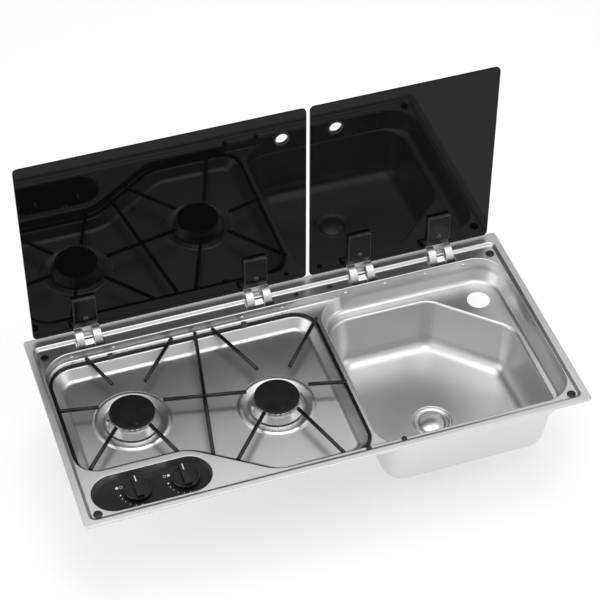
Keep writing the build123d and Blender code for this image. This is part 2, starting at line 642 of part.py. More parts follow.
def make_pan_support():
    """Wire rail with the fingers and bars welded on top of it."""
    path = Pos(0, 0, RAIL_Z) * rail_outline().face().outer_wire()
    section = Plane(origin=path @ 0, z_dir=path % 0) * Circle(WIRE_RADIUS)
    support = sweep(section, path=path)
    for start, end in support_bars():
        bar = Line((*start, BAR_Z), (*end, BAR_Z))
        support += extrude(Plane(origin=bar @ 0, z_dir=bar % 0) * Circle(WIRE_RADIUS), bar.length)
    save("pan_support", support.solids()[0])


def make_pan_support_clips():
    """Moulded clips on the basin's shelf that hook over the back rail."""
    throat = WIRE_RADIUS + SEAT_GAP
    top_z = RAIL_Z + throat + CLIP_ROOF
    clips = []
    for burner_x, _ in BURNER_CENTRES:
        x = burner_x + CLIP_FROM_BURNER
        block = Pos(x, RAIL_BACK + CLIP_OFFSET, (SHELF_Z + top_z) / 2) * Box(
            CLIP_WIDTH, 2 * (throat + CLIP_ROOF), top_z - SHELF_Z)
        block = fillet(block.edges().filter_by(Axis.X).group_by(Axis.Z)[-1], CLIP_ROOF)
        block -= Pos(x, RAIL_BACK, RAIL_Z) * Rot(0, 90, 0) * Cylinder(throat, 2 * CLIP_WIDTH)
        block -= Pos(x, RAIL_BACK - throat, SHELF_Z) * Box(2 * CLIP_WIDTH, 4 * throat, 2 * (RAIL_Z - SHELF_Z))
        clips.extend(block.solids())
    save("pan_support_clips", *clips)


def make_control_panel():
    """Moulded plate that lies on the floor of the control recess."""
    outline = control_outline(PANEL_RECESS_RUN + PANEL_SIDE_GAP)
    plate = Pos(0, 0, PANEL_FLOOR_Z) * extrude(outline, PANEL_THICKNESS)
    plate = fillet(plate.edges().group_by(Axis.Z)[-1], PANEL_EDGE)
    for x in KNOB_XS:
        plate -= Pos(x, KNOB_Y, PANEL_FLOOR_Z) * Cylinder(VALVE_HOLE_RADIUS, 4 * PANEL_THICKNESS)
    save("control_panel", plate)


def knob():
    """Round knob with a grip bar across its dish, foot at z = 0."""
    standing = (Align.CENTER, Align.CENTER, Align.MIN)
    skirt = Cylinder(KNOB_RADIUS, KNOB_SKIRT_HEIGHT, align=standing)
    skirt = chamfer(skirt.edges().group_by(Axis.Z)[-1], KNOB_SKIRT_EDGE)
    grip = extrude(Rectangle(KNOB_GRIP_WIDTH, 3 * KNOB_RADIUS), KNOB_HEIGHT)
    body = grip & Cylinder(KNOB_RADIUS - KNOB_GRIP_INSET, KNOB_HEIGHT, align=standing)
    body = chamfer(body.edges().group_by(Axis.Z)[-1], KNOB_GRIP_EDGE)
    dish = Pos(0, 0, KNOB_SKIRT_HEIGHT) * Cylinder(KNOB_RADIUS - KNOB_DISH_WALL, 2 * KNOB_DISH_DEPTH)
    bore = Cylinder(SPINDLE_RADIUS, SPINDLE_IN_KNOB, align=standing)
    return skirt - dish + body - bore


def make_controls():
    """Knobs, spindles, plungers and gas valves."""
    for number, x in enumerate(KNOB_XS, start=1):
        place = Pos(x, KNOB_Y, 0)
        save(f"knob_{number}", place * Pos(0, 0, KNOB_BOTTOM_Z) * knob())

        plunger_top = VALVE_TOP_Z - VALVE_HEIGHT / 2
        spindle_top = KNOB_BOTTOM_Z + SPINDLE_IN_KNOB
        spindle = place * Pos(0, 0, plunger_top) * extrude(Circle(SPINDLE_RADIUS), spindle_top - plunger_top)
        save(f"spindle_{number}", spindle)
        plunger = place * Pos(0, 0, plunger_top - SEAT_GAP) * extrude(
            Circle(PLUNGER_RADIUS), -PLUNGER_LENGTH)
        save(f"valve_plunger_{number}", plunger)

        block = place * Pos(0, 0, VALVE_BOTTOM_Z) * extrude(
            RectangleRounded(VALVE_WIDTH, VALVE_WIDTH, VALVE_CORNER_RADIUS), VALVE_HEIGHT)
        neck = place * Pos(0, 0, VALVE_TOP_Z) * extrude(Circle(VALVE_NECK_RADIUS), VALVE_NECK_HEIGHT)
        shaft_hole = place * Pos(0, 0, plunger_top) * extrude(
            Circle(SPINDLE_RADIUS + SPINDLE_GAP), VALVE_HEIGHT + VALVE_NECK_HEIGHT)
        chamber_length = PLUNGER_LENGTH + KNOB_TRAVEL + 2 * SEAT_GAP
        chamber = place * Pos(0, 0, plunger_top) * extrude(
            Circle(PLUNGER_RADIUS + SPINDLE_GAP), -chamber_length)
        save(f"gas_valve_{number}", block + neck - shaft_hole - chamber)


def ring(profile):
    """Turned part from (radius, height) points, straight between them."""
    return revolve(Plane.XZ * make_face(Polyline(*profile, close=True)), Axis.Z)


def burner_cap():
    """Enamelled cap, with a small round dent at the front and the back of its top."""
    cap = Cylinder(CAP_RADIUS, CAP_HEIGHT, align=(Align.CENTER, Align.CENTER, Align.MIN))
    cap = fillet(cap.edges().group_by(Axis.Z)[-1], CAP_EDGE_RADIUS)
    ball_radius = (CAP_DIMPLE_RADIUS ** 2 + CAP_DIMPLE_DEPTH ** 2) / (2 * CAP_DIMPLE_DEPTH)
    ball_z = CAP_HEIGHT - CAP_DIMPLE_DEPTH + ball_radius
    for side in (-1, 1):
        cap -= Pos(0, side * CAP_DIMPLE_OFFSET, ball_z) * Sphere(ball_radius)
    return cap


def burner_crown():
    """Flame crown with its ring of gas ports, seated on the cup."""
    inner = CROWN_RADIUS - CROWN_WALL
    crown = ring([
        (inner, CROWN_BOTTOM_Z), (CROWN_FOOT_RADIUS, CROWN_BOTTOM_Z),
        (CROWN_RADIUS, CROWN_TOP_Z - CROWN_BAND_HEIGHT), (CROWN_RADIUS, CROWN_TOP_Z), (inner, CROWN_TOP_Z),
    ])
    port = Pos(CROWN_RADIUS, 0, CROWN_TOP_Z - CROWN_PORT_HEIGHT / 2) * Box(
        3 * CROWN_WALL, CROWN_PORT_WIDTH, CROWN_PORT_HEIGHT)
    return crown - PolarLocations(0, CROWN_PORTS) * port


def burner_body():
    """Cast cup under the hob floor with its mixing tube towards the front."""
    flange_z = BURNER_FLANGE_Z
    flange_bottom = flange_z - BURNER_FLANGE_THICKNESS
    bottom = flange_z - BURNER_CUP_DEPTH
    inner = BURNER_CUP_RADIUS - BURNER_CUP_WALL
    neck = BURNER_CUP_RADIUS + BURNER_CUP_WALL
    cup = ring([
        (0, bottom), (BURNER_CUP_RADIUS, bottom), (BURNER_CUP_RADIUS, flange_bottom),
        (BURNER_FLANGE_RADIUS, flange_bottom), (BURNER_FLANGE_RADIUS, flange_z), (neck, flange_z),
        (neck, CROWN_BOTTOM_Z), (inner, CROWN_BOTTOM_Z), (inner, bottom + BURNER_CUP_WALL),
        (0, bottom + BURNER_CUP_WALL),
    ])
    tube_z = flange_z - MIXER_BELOW_FLANGE
    tube = Pos(0, -MIXER_LENGTH, tube_z) * Rot(-90, 0, 0) * extrude(
        Circle(MIXER_RADIUS), MIXER_LENGTH - BURNER_CUP_RADIUS + BURNER_CUP_WALL)
    pin_hole = Pos(-THERMOCOUPLE_OFFSET, 0, flange_z) * Cylinder(
        THERMOCOUPLE_RADIUS + RUNNING_GAP, 4 * BURNER_FLANGE_THICKNESS)
    return cup + tube - pin_hole


def burner_trim():
    """Polished ring on the hob floor round the burner."""
    base = HOB_FLOOR_Z
    crest_z = base + TRIM_HEIGHT
    inner_top_z = base + TRIM_THICKNESS - TRIM_INNER_DROP
    return ring([
        (TRIM_OUTER_RADIUS, base), (TRIM_OUTER_RADIUS - TRIM_EDGE, base + TRIM_THICKNESS),
        (TRIM_BAND_OUTER_RADIUS, crest_z), (TRIM_BAND_INNER_RADIUS, crest_z),
        (BURNER_HOLE_RADIUS, base + TRIM_THICKNESS), (TRIM_INNER_RADIUS, inner_top_z),
        (TRIM_INNER_RADIUS, inner_top_z - TRIM_LIP), (BURNER_HOLE_RADIUS - TRIM_THICKNESS, base),
    ])


def make_burners():
    """Both burners, from the trim ring down to the cast body."""
    for number, (x, y) in enumerate(BURNER_CENTRES, start=1):
        place = Pos(x, y, 0)
        save(f"burner_cap_{number}", place * Pos(0, 0, CROWN_TOP_Z) * burner_cap())
        save(f"burner_crown_{number}", place * burner_crown())
        save(f"burner_body_{number}", place * burner_body())
        save(f"burner_trim_{number}", place * burner_trim())
        pin = Cylinder(THERMOCOUPLE_RADIUS, THERMOCOUPLE_LENGTH,
                       align=(Align.CENTER, Align.CENTER, Align.MAX))
        pin = fillet(pin.edges().group_by(Axis.Z)[-1], THERMOCOUPLE_TIP_RADIUS)
        save(f"thermocouple_{number}", place * Pos(-THERMOCOUPLE_OFFSET, 0, THERMOCOUPLE_TOP_Z) * pin)


def pipe(points, bend_radius):
    """Bent gas pipe along straight runs joined by arcs."""
    path = FilletPolyline(*points, radius=bend_radius)
    section = Plane(origin=path @ 0, z_dir=path % 0) * Circle(PIPE_RADIUS)
    return sweep(section, path=path)


def make_gas_pipes():
    """Manifold under the valves with the gas inlet, and a feed pipe to each burner."""
    left = KNOB_XS[0] - MANIFOLD_LEFT_OVERHANG
    right = KNOB_XS[1] + MANIFOLD_RIGHT_OVERHANG
    tube = Pos(left, KNOB_Y, MANIFOLD_Z) * Rot(0, 90, 0) * extrude(Circle(MANIFOLD_RADIUS), right - left)
    inlet = Pos(left, KNOB_Y, MANIFOLD_Z) * Rot(0, -90, 0) * extrude(Circle(INLET_RADIUS), INLET_LENGTH)
    save("gas_manifold", tube + inlet)

    feed_z = BURNER_FLANGE_Z - MIXER_BELOW_FLANGE
    valve_back = KNOB_Y + VALVE_WIDTH / 2
    for number, (valve_x, (burner_x, burner_y)) in enumerate(zip(KNOB_XS, BURNER_CENTRES), start=1):
        jet_y = burner_y - MIXER_LENGTH
        turn_y = valve_back + (jet_y - valve_back) / 2
        route = [(valve_x, valve_back, feed_z), (valve_x, turn_y, feed_z), (burner_x, turn_y, feed_z),
                 (burner_x, jet_y, feed_z)]
        save(f"feed_pipe_{number}", pipe(route, PIPE_BEND_RADIUS))


def waste_flange():
    """Polished ring in the bowl's floor with its throat, seat at z = 0."""
    throat_inner = WASTE_THROAT_RADIUS - WASTE_WALL
    return ring([
        (WASTE_FLANGE_RADIUS, 0), (WASTE_FLANGE_RADIUS, WASTE_FLANGE_EDGE),
        (WASTE_FLANGE_RADIUS - WASTE_WALL, WASTE_FLANGE_HEIGHT),
        (WASTE_FLANGE_RADIUS - WASTE_FLANGE_BEAD, WASTE_FLANGE_DISH),
        (throat_inner + SEAT_GAP + RUNNING_GAP, -WASTE_THROAT_BEND),
        (throat_inner, -2 * WASTE_THROAT_BEND), (throat_inner, -WASTE_THROAT_LENGTH),
        (WASTE_THROAT_RADIUS, -WASTE_THROAT_LENGTH), (WASTE_THROAT_RADIUS, 0),
    ])


def waste_body():
    """Moulded body under the bowl with its hose outlet and the plug's guide, flange seat at z = 0."""
    top = -SHEET - WASTE_GASKET_HEIGHT
    collar_bottom = top - WASTE_COLLAR_HEIGHT
    floor = -WASTE_THROAT_LENGTH - WASTE_BODY_FLOOR
    taper_bottom = floor - WASTE_BODY_TAPER
    outlet_bottom = taper_bottom - WASTE_OUTLET_LENGTH
    inner = WASTE_THROAT_RADIUS + RUNNING_GAP
    outer = inner + WASTE_BODY_WALL
    bore = WASTE_OUTLET_RADIUS - WASTE_OUTLET_WALL
    shell = ring([
        (inner, top), (WASTE_COLLAR_RADIUS, top), (WASTE_COLLAR_RADIUS, collar_bottom),
        (outer, collar_bottom), (outer, floor), (WASTE_OUTLET_RADIUS, taper_bottom),
        (WASTE_OUTLET_RADIUS, outlet_bottom),
        (bore, outlet_bottom), (bore, taper_bottom + WASTE_OUTLET_WALL), (inner, -WASTE_THROAT_LENGTH),
    ])
    spider_top = -WASTE_THROAT_LENGTH - SEAT_GAP
    spider_height = spider_top - SPIDER_Z
    ledge = ring([(inner - WASTE_SPIDER_LEDGE, SPIDER_Z), (inner + SHEET, SPIDER_Z),
                  (inner + SHEET, spider_top), (inner - WASTE_SPIDER_LEDGE, spider_top)])
    cross = Circle(PLUG_STEM_RADIUS + WASTE_SPIDER_HUB) + Rectangle(2 * inner, WASTE_SPIDER_RIB)
    cross += Rectangle(WASTE_SPIDER_RIB, 2 * inner)
    cross = (cross & Circle(inner)) - Circle(PLUG_STEM_RADIUS + RUNNING_GAP)
    return shell + ledge + Pos(0, 0, SPIDER_Z) * extrude(cross, spider_height)


def waste_plug():
    """Lift-out plug with its domed top and stem, flange seat at z = 0."""
    rim_z = -PLUG_BELOW_SEAT
    sphere_radius = (PLUG_RADIUS ** 2 + PLUG_CROWN ** 2) / (2 * PLUG_CROWN)
    disc = Pos(0, 0, rim_z - PLUG_THICKNESS) * extrude(Circle(PLUG_RADIUS), PLUG_THICKNESS + PLUG_CROWN)
    plug = disc & (Pos(0, 0, rim_z + PLUG_CROWN - sphere_radius) * Sphere(sphere_radius))
    stem_bottom = SPIDER_Z - PLUG_STEM_OVERHANG
    return plug + Pos(0, 0, stem_bottom) * extrude(Circle(PLUG_STEM_RADIUS), rim_z - stem_bottom)


def make_waste():
    """Waste flange, gasket, body with hose outlet, and the lift-out plug."""
    place = Pos(WASTE_X, WASTE_Y, WASTE_SEAT_Z)
    save("waste_flange", place * waste_flange())
    gasket = Circle(WASTE_COLLAR_RADIUS) - Circle(WASTE_THROAT_RADIUS + SEAT_GAP)
    save("waste_gasket", place * Pos(0, 0, -SHEET) * extrude(gasket, -WASTE_GASKET_HEIGHT))
    save("waste_body", place * waste_body())
    save("waste_plug", place * waste_plug())


def strap():
    """Curved strap of a lid arm, in the plane x = 0 with the pin at the origin, centred in x."""
    outer = STRAP_RADIUS + STRAP_THICKNESS / 2
    inner = STRAP_RADIUS - STRAP_THICKNESS / 2
    top = radians(STRAP_TOP_ANGLE)
    leg = radians(STRAP_LEG_ANGLE)
    middle = (top + leg) / 2
    outside = ThreePointArc(*[(outer * cos(a), outer * sin(a)) for a in (top, middle, leg)])
    inside = ThreePointArc(*[(inner * cos(a), inner * sin(a)) for a in (leg, middle, top)])
    sector = make_face([outside, Line(outside @ 1, inside @ 0), inside, Line(inside @ 1, outside @ 0)])
    spoke = Rot(0, 0, STRAP_LEG_ANGLE) * Pos(outer / 2, 0) * Rectangle(outer, STRAP_THICKNESS)
    side = sector + spoke + Circle(STRAP_EYE_RADIUS) - Circle(PIN_RADIUS + RUNNING_GAP)
    return extrude(Plane.YZ * side, STRAP_WIDTH / 2, both=True)


def hinge_arm():
    """Two straps joined by the channel that grips the glass, in place for a hinge at x = 0."""
    straps = [Pos(side * STRAP_SPACING / 2, PIN_Y, PIN_Z) * strap() for side in (-1, 1)]
    front = GLASS_FRONT_Y - CHANNEL_WALL
    back = GLASS_BACK_Y + CLAMP_BACK_THICKNESS
    bottom = GLASS_BOTTOM_Z - CHANNEL_BASE
    outer = Pos(0, (front + back) / 2, (bottom + CHANNEL_TOP_Z) / 2) * Box(
        CHANNEL_WIDTH, back - front, CHANNEL_TOP_Z - bottom)
    outer = fillet(outer.edges().filter_by(Axis.X), CHANNEL_EDGE_RADIUS)
    slot = Pos(0, GLASS_FRONT_Y + GLASS / 2, CHANNEL_TOP_Z) * Box(
        2 * CHANNEL_WIDTH, GLASS, 2 * (CHANNEL_TOP_Z - GLASS_BOTTOM_Z))
    return straps[0] + straps[1] + (outer - slot)


def clamp_front():
    """Moulded block on the inner face of the glass, thin at its toe so that it clears the ledge."""
    toe_bottom = CHANNEL_TOP_Z + CLAMP_TOE_GAP
    block = Pos(0, GLASS_FRONT_Y - CLAMP_THICKNESS / 2, (CLAMP_TOE_TOP_Z + CLAMP_TOP_Z) / 2) * Box(
        CLAMP_WIDTH, CLAMP_THICKNESS, CLAMP_TOP_Z - CLAMP_TOE_TOP_Z)
    block = chamfer(block.faces().sort_by(Axis.Y)[0].edges(), CLAMP_EDGE_RADIUS)
    toe = Pos(0, GLASS_FRONT_Y - CLAMP_TOE_THICKNESS / 2, (toe_bottom + CLAMP_TOE_TOP_Z) / 2) * Box(
        CLAMP_WIDTH, CLAMP_TOE_THICKNESS, CLAMP_TOE_TOP_Z - toe_bottom)
    hole = Pos(0, GLASS_FRONT_Y, CLAMP_SCREW_Z) * Rot(90, 0, 0) * Cylinder(
        CLAMP_SCREW_RADIUS, 4 * CLAMP_THICKNESS)
    return block + toe - hole


def clamp_back():
    """Pressure plate on the outer face of the glass."""
    bottom = CHANNEL_TOP_Z + CLAMP_TOE_GAP
    face = RectangleRounded(CLAMP_WIDTH, CLAMP_TOP_Z - bottom, CLAMP_BACK_CORNER)
    face = Pos(0, (bottom + CLAMP_TOP_Z) / 2) * face
    place = Pos(0, GLASS_BACK_Y + CLAMP_BACK_THICKNESS, 0)
    plate = place * extrude(Plane.XZ * face, CLAMP_BACK_THICKNESS)
    return plate - Pos(0, GLASS_BACK_Y, CLAMP_SCREW_Z) * Rot(90, 0, 0) * Cylinder(
        CLAMP_SCREW_RADIUS, 4 * CLAMP_THICKNESS)


def clamp_screw():
    """Screw through the clamp and the glass, with its nut on the outer face."""
    head_y = GLASS_FRONT_Y - CLAMP_THICKNESS
    back_y = GLASS_BACK_Y + CLAMP_BACK_THICKNESS
    head = Cylinder(CLAMP_SCREW_HEAD_RADIUS, CLAMP_SCREW_HEAD,
                    align=(Align.CENTER, Align.CENTER, Align.MAX))
    shank = Cylinder(CLAMP_SCREW_RADIUS, back_y + CLAMP_NUT_HEIGHT - head_y,
                     align=(Align.CENTER, Align.CENTER, Align.MIN))
    nut = Pos(0, 0, back_y - head_y) * extrude(RegularPolygon(CLAMP_NUT_RADIUS, 6), CLAMP_NUT_HEIGHT)
    return along_y(head + shank + nut, 0, head_y, CLAMP_SCREW_Z)


def glass(left, right, finger_x, hinge_xs):
    """Toughened glass panel with its finger hole and clamp holes."""
    face = Pos((left + right) / 2, (GLASS_BOTTOM_Z + GLASS_TOP_Z) / 2) * RectangleRounded(
        right - left, GLASS_TOP_Z - GLASS_BOTTOM_Z, GLASS_CORNER_RADIUS)
    face -= Pos(finger_x, FINGER_HOLE_Z) * Circle(FINGER_HOLE_RADIUS)
    for x in hinge_xs:
        face -= Pos(x, CLAMP_SCREW_Z) * Circle(CLAMP_SCREW_RADIUS + SEAT_GAP)
    return Pos(0, GLASS_BACK_Y, 0) * extrude(Plane.XZ * face, GLASS)


def finger_ring(x):
    """Moulded eyelet in the finger hole, flanged on both faces of the glass."""
    sleeve = FINGER_HOLE_RADIUS
    bore = FINGER_HOLE_RADIUS - RING_WALL
    flange = FINGER_HOLE_RADIUS + RING_FLANGE
    half = GLASS / 2
    profile = ring([
        (bore, -half - RING_FLANGE_THICKNESS), (flange, -half - RING_FLANGE_THICKNESS), (flange, -half),
        (sleeve, -half), (sleeve, half), (flange, half), (flange, half + RING_FLANGE_THICKNESS),
        (bore, half + RING_FLANGE_THICKNESS),
    ])
    return along_y(profile, x, GLASS_FRONT_Y + half, FINGER_HOLE_Z)


def make_lids():
    """Both glass lids with their arms, clamps, screws and finger rings."""
    lids = {
        "left": (LEFT_LID_X, FINGER_HOLE_XS[0], LEFT_HINGE_XS),
        "right": (RIGHT_LID_X, FINGER_HOLE_XS[1], RIGHT_HINGE_XS),
    }
    for side, ((left, right), finger_x, hinge_xs) in lids.items():
        save(f"{side}_glass", glass(left, right, finger_x, hinge_xs))
        save(f"{side}_finger_ring", finger_ring(finger_x))
        save(f"{side}_clamp_screws", *[Pos(x, 0, 0) * clamp_screw() for x in hinge_xs])
        save(f"{side}_clamp_plates", *[Pos(x, 0, 0) * clamp_back() for x in hinge_xs])
    for number, x in enumerate(HINGE_XS, start=1):
        save(f"hinge_arm_{number}", Pos(x, 0, 0) * hinge_arm())
        save(f"lid_clamp_{number}", Pos(x, 0, 0) * clamp_front())


def ear_x():
    """Inner face of a bracket's ear, from the middle of the hinge."""
    return STRAP_SPACING / 2 + STRAP_WIDTH / 2 + BRACKET_EAR_GAP


def bracket():
    """Bent steel bracket behind the basin wall, with an ear each side of the lid arm."""
    wall_y = BASIN_BACK_Y + SHEET
    top_flange = Pos(0, wall_y + BRACKET_SHEET / 2, (BRACKET_TOP_Z + SHELF_Z) / 2) * Box(
        BRACKET_WIDTH, BRACKET_SHEET, BRACKET_TOP_Z - SHELF_Z)
    web_width = 2 * (ear_x() + BRACKET_EAR_THICKNESS)
    web = Pos(0, wall_y + BRACKET_SHEET / 2, (BRACKET_TOP_Z + BRACKET_FOOT_Z) / 2) * Box(
        web_width, BRACKET_SHEET, BRACKET_TOP_Z - BRACKET_FOOT_Z)
    foot = Pos(0, (wall_y + BRACKET_BACK_Y) / 2, BRACKET_FOOT_Z + BRACKET_SHEET / 2) * Box(
        web_width, BRACKET_BACK_Y - wall_y, BRACKET_SHEET)
    ear_face = make_face(Polyline(
        (wall_y, BRACKET_FOOT_Z), (BRACKET_BACK_Y, BRACKET_FOOT_Z), (BRACKET_BACK_Y, BRACKET_EAR_TOP_Z),
        (PIN_Y - BRACKET_SHOULDER, BRACKET_EAR_TOP_Z), (SLOT_BACK_Y, BRACKET_TOP_Z),
        (wall_y, BRACKET_TOP_Z), close=True)) - Pos(PIN_Y, PIN_Z) * Circle(PIN_RADIUS)
    ear = extrude(Plane.YZ * ear_face, BRACKET_EAR_THICKNESS)
    body = top_flange + web + foot
    for side in (-1, 1):
        start = ear_x() if side > 0 else -ear_x() - BRACKET_EAR_THICKNESS
        body += Pos(start, 0, 0) * ear
        body -= along_y(Cylinder(BRACKET_SCREW_RADIUS, 4 * BRACKET_SCREW_LENGTH), side * BRACKET_SCREW_OFFSET,
                        wall_y, BRACKET_SCREW_Z)
    return body


def make_hinge_brackets():
    """Brackets, pins, screws and nuts of the four hinges."""
    for number, x in enumerate(HINGE_XS, start=1):
        save(f"hinge_bracket_{number}", Pos(x, 0, 0) * bracket())
    pin = Rot(0, 90, 0) * Cylinder(PIN_RADIUS, 2 * (ear_x() + BRACKET_EAR_THICKNESS + PIN_OVERHANG))
    save("hinge_pins", *[Pos(x, PIN_Y, PIN_Z) * pin for x in HINGE_XS])

    head = Cylinder(BRACKET_SCREW_HEAD_RADIUS, BRACKET_SCREW_HEAD,
                    align=(Align.CENTER, Align.CENTER, Align.MAX))
    head = fillet(head.edges().group_by(Axis.Z)[0], BRACKET_SCREW_EDGE_SHARE * BRACKET_SCREW_HEAD)
    shank = Cylinder(BRACKET_SCREW_RADIUS, BRACKET_SCREW_LENGTH,
                     align=(Align.CENTER, Align.CENTER, Align.MIN))
    screw = head + shank
    save("bracket_screws", *[along_y(screw, x, BASIN_BACK_Y, z) for x, z in screw_places()])
    nut = hexagon_nut(BRACKET_NUT_RADIUS, BRACKET_SCREW_RADIUS, BRACKET_NUT_HEIGHT)
    nut_y = BASIN_BACK_Y + SHEET + BRACKET_SHEET
    save("bracket_nuts", *[along_y(nut, x, nut_y, z) for x, z in screw_places()])


make_deck_and_bowl()
make_rim_seal()
make_bumpers()
make_pan_support()
make_pan_support_clips()
make_control_panel()
make_controls()
make_burners()
make_gas_pipes()
make_waste()
make_lids()
make_hinge_brackets()
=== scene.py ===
import logging
import math
from dataclasses import dataclass, field
from enum import Enum
from functools import cache
from typing import Iterable, Sequence

import bmesh
import bpy
from mathutils import Matrix, Vector
from mathutils.geometry import delaunay_2d_cdt


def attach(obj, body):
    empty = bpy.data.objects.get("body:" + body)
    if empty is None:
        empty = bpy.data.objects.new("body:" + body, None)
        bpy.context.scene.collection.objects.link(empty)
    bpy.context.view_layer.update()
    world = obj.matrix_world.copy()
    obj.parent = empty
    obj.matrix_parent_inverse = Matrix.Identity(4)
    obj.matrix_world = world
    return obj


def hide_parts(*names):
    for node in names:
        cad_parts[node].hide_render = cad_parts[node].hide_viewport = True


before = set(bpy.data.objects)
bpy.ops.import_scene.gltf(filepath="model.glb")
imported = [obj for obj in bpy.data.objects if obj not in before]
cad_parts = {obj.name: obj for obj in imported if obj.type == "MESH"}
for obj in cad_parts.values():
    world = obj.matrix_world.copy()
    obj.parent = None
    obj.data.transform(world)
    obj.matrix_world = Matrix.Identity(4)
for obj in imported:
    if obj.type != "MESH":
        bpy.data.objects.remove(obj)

LOG = logging.getLogger("hob_and_sink")
MM = 0.001
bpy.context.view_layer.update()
ALONG_X = Matrix(((0, 0, 1, 0), (1, 0, 0, 0), (0, 1, 0, 0), (0, 0, 0, 1)))
ALONG_Y = Matrix.Rotation(math.radians(90), 4, "X")
UP = Vector((0, 0, 1))

Ring = list[Vector]
Profile = Sequence[tuple[float, float]]


# ---------------------------------------------------------------- outlines and sections

class Chain:
    """Points of an outline in plan with their inward normals, in millimetres."""

    def __init__(self, points: list[Vector], normals: list[Vector]) -> None:
        """Keep the points and their normals side by side."""
        self.points = points
        self.normals = normals

    @classmethod
    def rounded(cls, corners: Sequence[tuple[float, float, float]], steps: int = 10,
                extra: int = 0) -> "Chain":
        """Closed outline through rounded corners.

        Args:
            corners: (x, y, radius) of each corner, anticlockwise.
            steps: faces round each corner.
            extra: points added on each straight that leads to a corner.

        Returns:
            The chain, the same length for any outline with as many corners.
        """
        bends = []
        for index, (x, y, radius) in enumerate(corners):
            here = Vector((x, y))
            before = Vector(corners[index - 1][:2])
            after = Vector(corners[(index + 1) % len(corners)][:2])
            arriving = (here - before).normalized()
            leaving = (after - here).normalized()
            turn = math.atan2(arriving.x * leaving.y - arriving.y * leaving.x, arriving.dot(leaving))
            side = 1.0 if turn > 0 else -1.0
            left = Vector((-arriving.y, arriving.x))
            start = here - arriving * radius * math.tan(abs(turn) / 2)
            centre = start + left * radius * side
            bend = []
            for step in range(steps + 1):
                angle = turn * step / steps
                normal = Vector((left.x * math.cos(angle) - left.y * math.sin(angle),
                                 left.x * math.sin(angle) + left.y * math.cos(angle)))
                bend.append((centre - normal * radius * side, normal))
            bends.append(bend)
        pairs = []
        for index, bend in enumerate(bends):
            last_point, last_normal = bends[index - 1][-1]
            pairs += [(last_point.lerp(bend[0][0], number / (extra + 1)), last_normal.copy())
                      for number in range(1, extra + 1)]
            pairs += bend
        return cls([point for point, _ in pairs], [normal for _, normal in pairs])

    @classmethod
    def rectangle(cls, left: float, right: float, front: float, back: float, radius: float,
                  steps: int = 10, extra: int = 0) -> "Chain":
        """Rounded rectangle between four sides, anticlockwise from its right front corner."""
        return cls.rounded([(right, front, radius), (right, back, radius), (left, back, radius),
                            (left, front, radius)], steps, extra)

    @classmethod
    def circle(cls, x: float, y: float, radius: float, steps: int = 64) -> "Chain":
        """Circle as a closed chain.

        Args:
            x: place of its middle across.
            y: place of its middle in depth.
            radius: its radius.
            steps: faces round it.

        Returns:
            The chain.
        """
        angles = [2 * math.pi * step / steps for step in range(steps)]
        points = [Vector((x + radius * math.cos(a), y + radius * math.sin(a))) for a in angles]
        return cls(points, [Vector((-math.cos(a), -math.sin(a))) for a in angles])

    def part(self, numbers: Iterable[int]) -> "Chain":
        """Some of the points, by number."""
        picked = list(numbers)
        return Chain([self.points[i] for i in picked], [self.normals[i] for i in picked])

    def joined(self, other: "Chain") -> "Chain":
        """This chain followed by another."""
        return Chain(self.points + other.points, self.normals + other.normals)

    def ring(self, inset: float | Sequence[float], z: float) -> Ring:
        """Points at one level, moved inwards by the inset."""
        insets = [inset] * len(self.points) if isinstance(inset, (int, float)) else inset
        return [(p + n * d).to_3d() + UP * z for p, n, d in zip(self.points, self.normals, insets)]


def arc(centre: tuple[float, float], radius: float, start: float, stop: float,
        steps: int = 8) -> list[tuple[float, float]]:
    """Points of an arc.

    Args:
        centre: its middle.
        radius: its radius.
        start: angle of its first point, in degrees.
        stop: angle of its last point, in degrees.
        steps: faces along it.

    Returns:
        The points in order.
    """
    angles = [math.radians(start + (stop - start) * step / steps) for step in range(steps + 1)]
    return [(centre[0] + radius * math.cos(a), centre[1] + radius * math.sin(a)) for a in angles]


def inside(point: Vector, ring: Ring) -> bool:
    """Tell whether a flat point lies inside a ring.

    Args:
        point: the point.
        ring: the closed ring.

    Returns:
        True inside, False outside.
    """
    crossings = 0
    for a, b in zip(ring, [*ring[1:], ring[0]]):
        if (a.y > point.y) != (b.y > point.y) and point.x < a.x + (point.y - a.y) * (b.x - a.x) / (b.y - a.y):
            crossings += 1
    return crossings % 2 == 1


def crossing(a: Vector, b: Vector, c: Vector, d: Vector) -> Vector | None:
    """Find where two stretches cross in plan.

    Args:
        a: start of the first stretch.
        b: end of the first stretch.
        c: start of the second stretch.
        d: end of the second stretch.

    Returns:
        The point they share, if any.
    """
    first, second = b - a, d - c
    across = first.x * second.y - first.y * second.x
    if abs(across) < 1e-9:
        return None
    gap = c - a
    along = (gap.x * second.y - gap.y * second.x) / across
    over = (gap.x * first.y - gap.y * first.x) / across
    return a + first * along if 0 <= along <= 1 and 0 <= over < 1 else None


def gap_to(points: Sequence[Vector], outline: Sequence[Vector]) -> list[float]:
    """Measure how far points lie from a closed outline, in plan.

    Args:
        points: the points.
        outline: the outline's own points.

    Returns:
        The shortest distance of each point.
    """
    gaps = []
    for point in points:
        here = Vector(point[:2])
        best = math.inf
        for start, end in zip(outline, [*outline[1:], outline[0]]):
            a, b = Vector(start[:2]), Vector(end[:2])
            along = b - a
            share = 0.0
            if along.length >= 1e-9:
                share = max(0.0, min(1.0, (here - a).dot(along) / along.length_squared))
            best = min(best, (here - a - along * share).length)
        gaps.append(best)
    return gaps


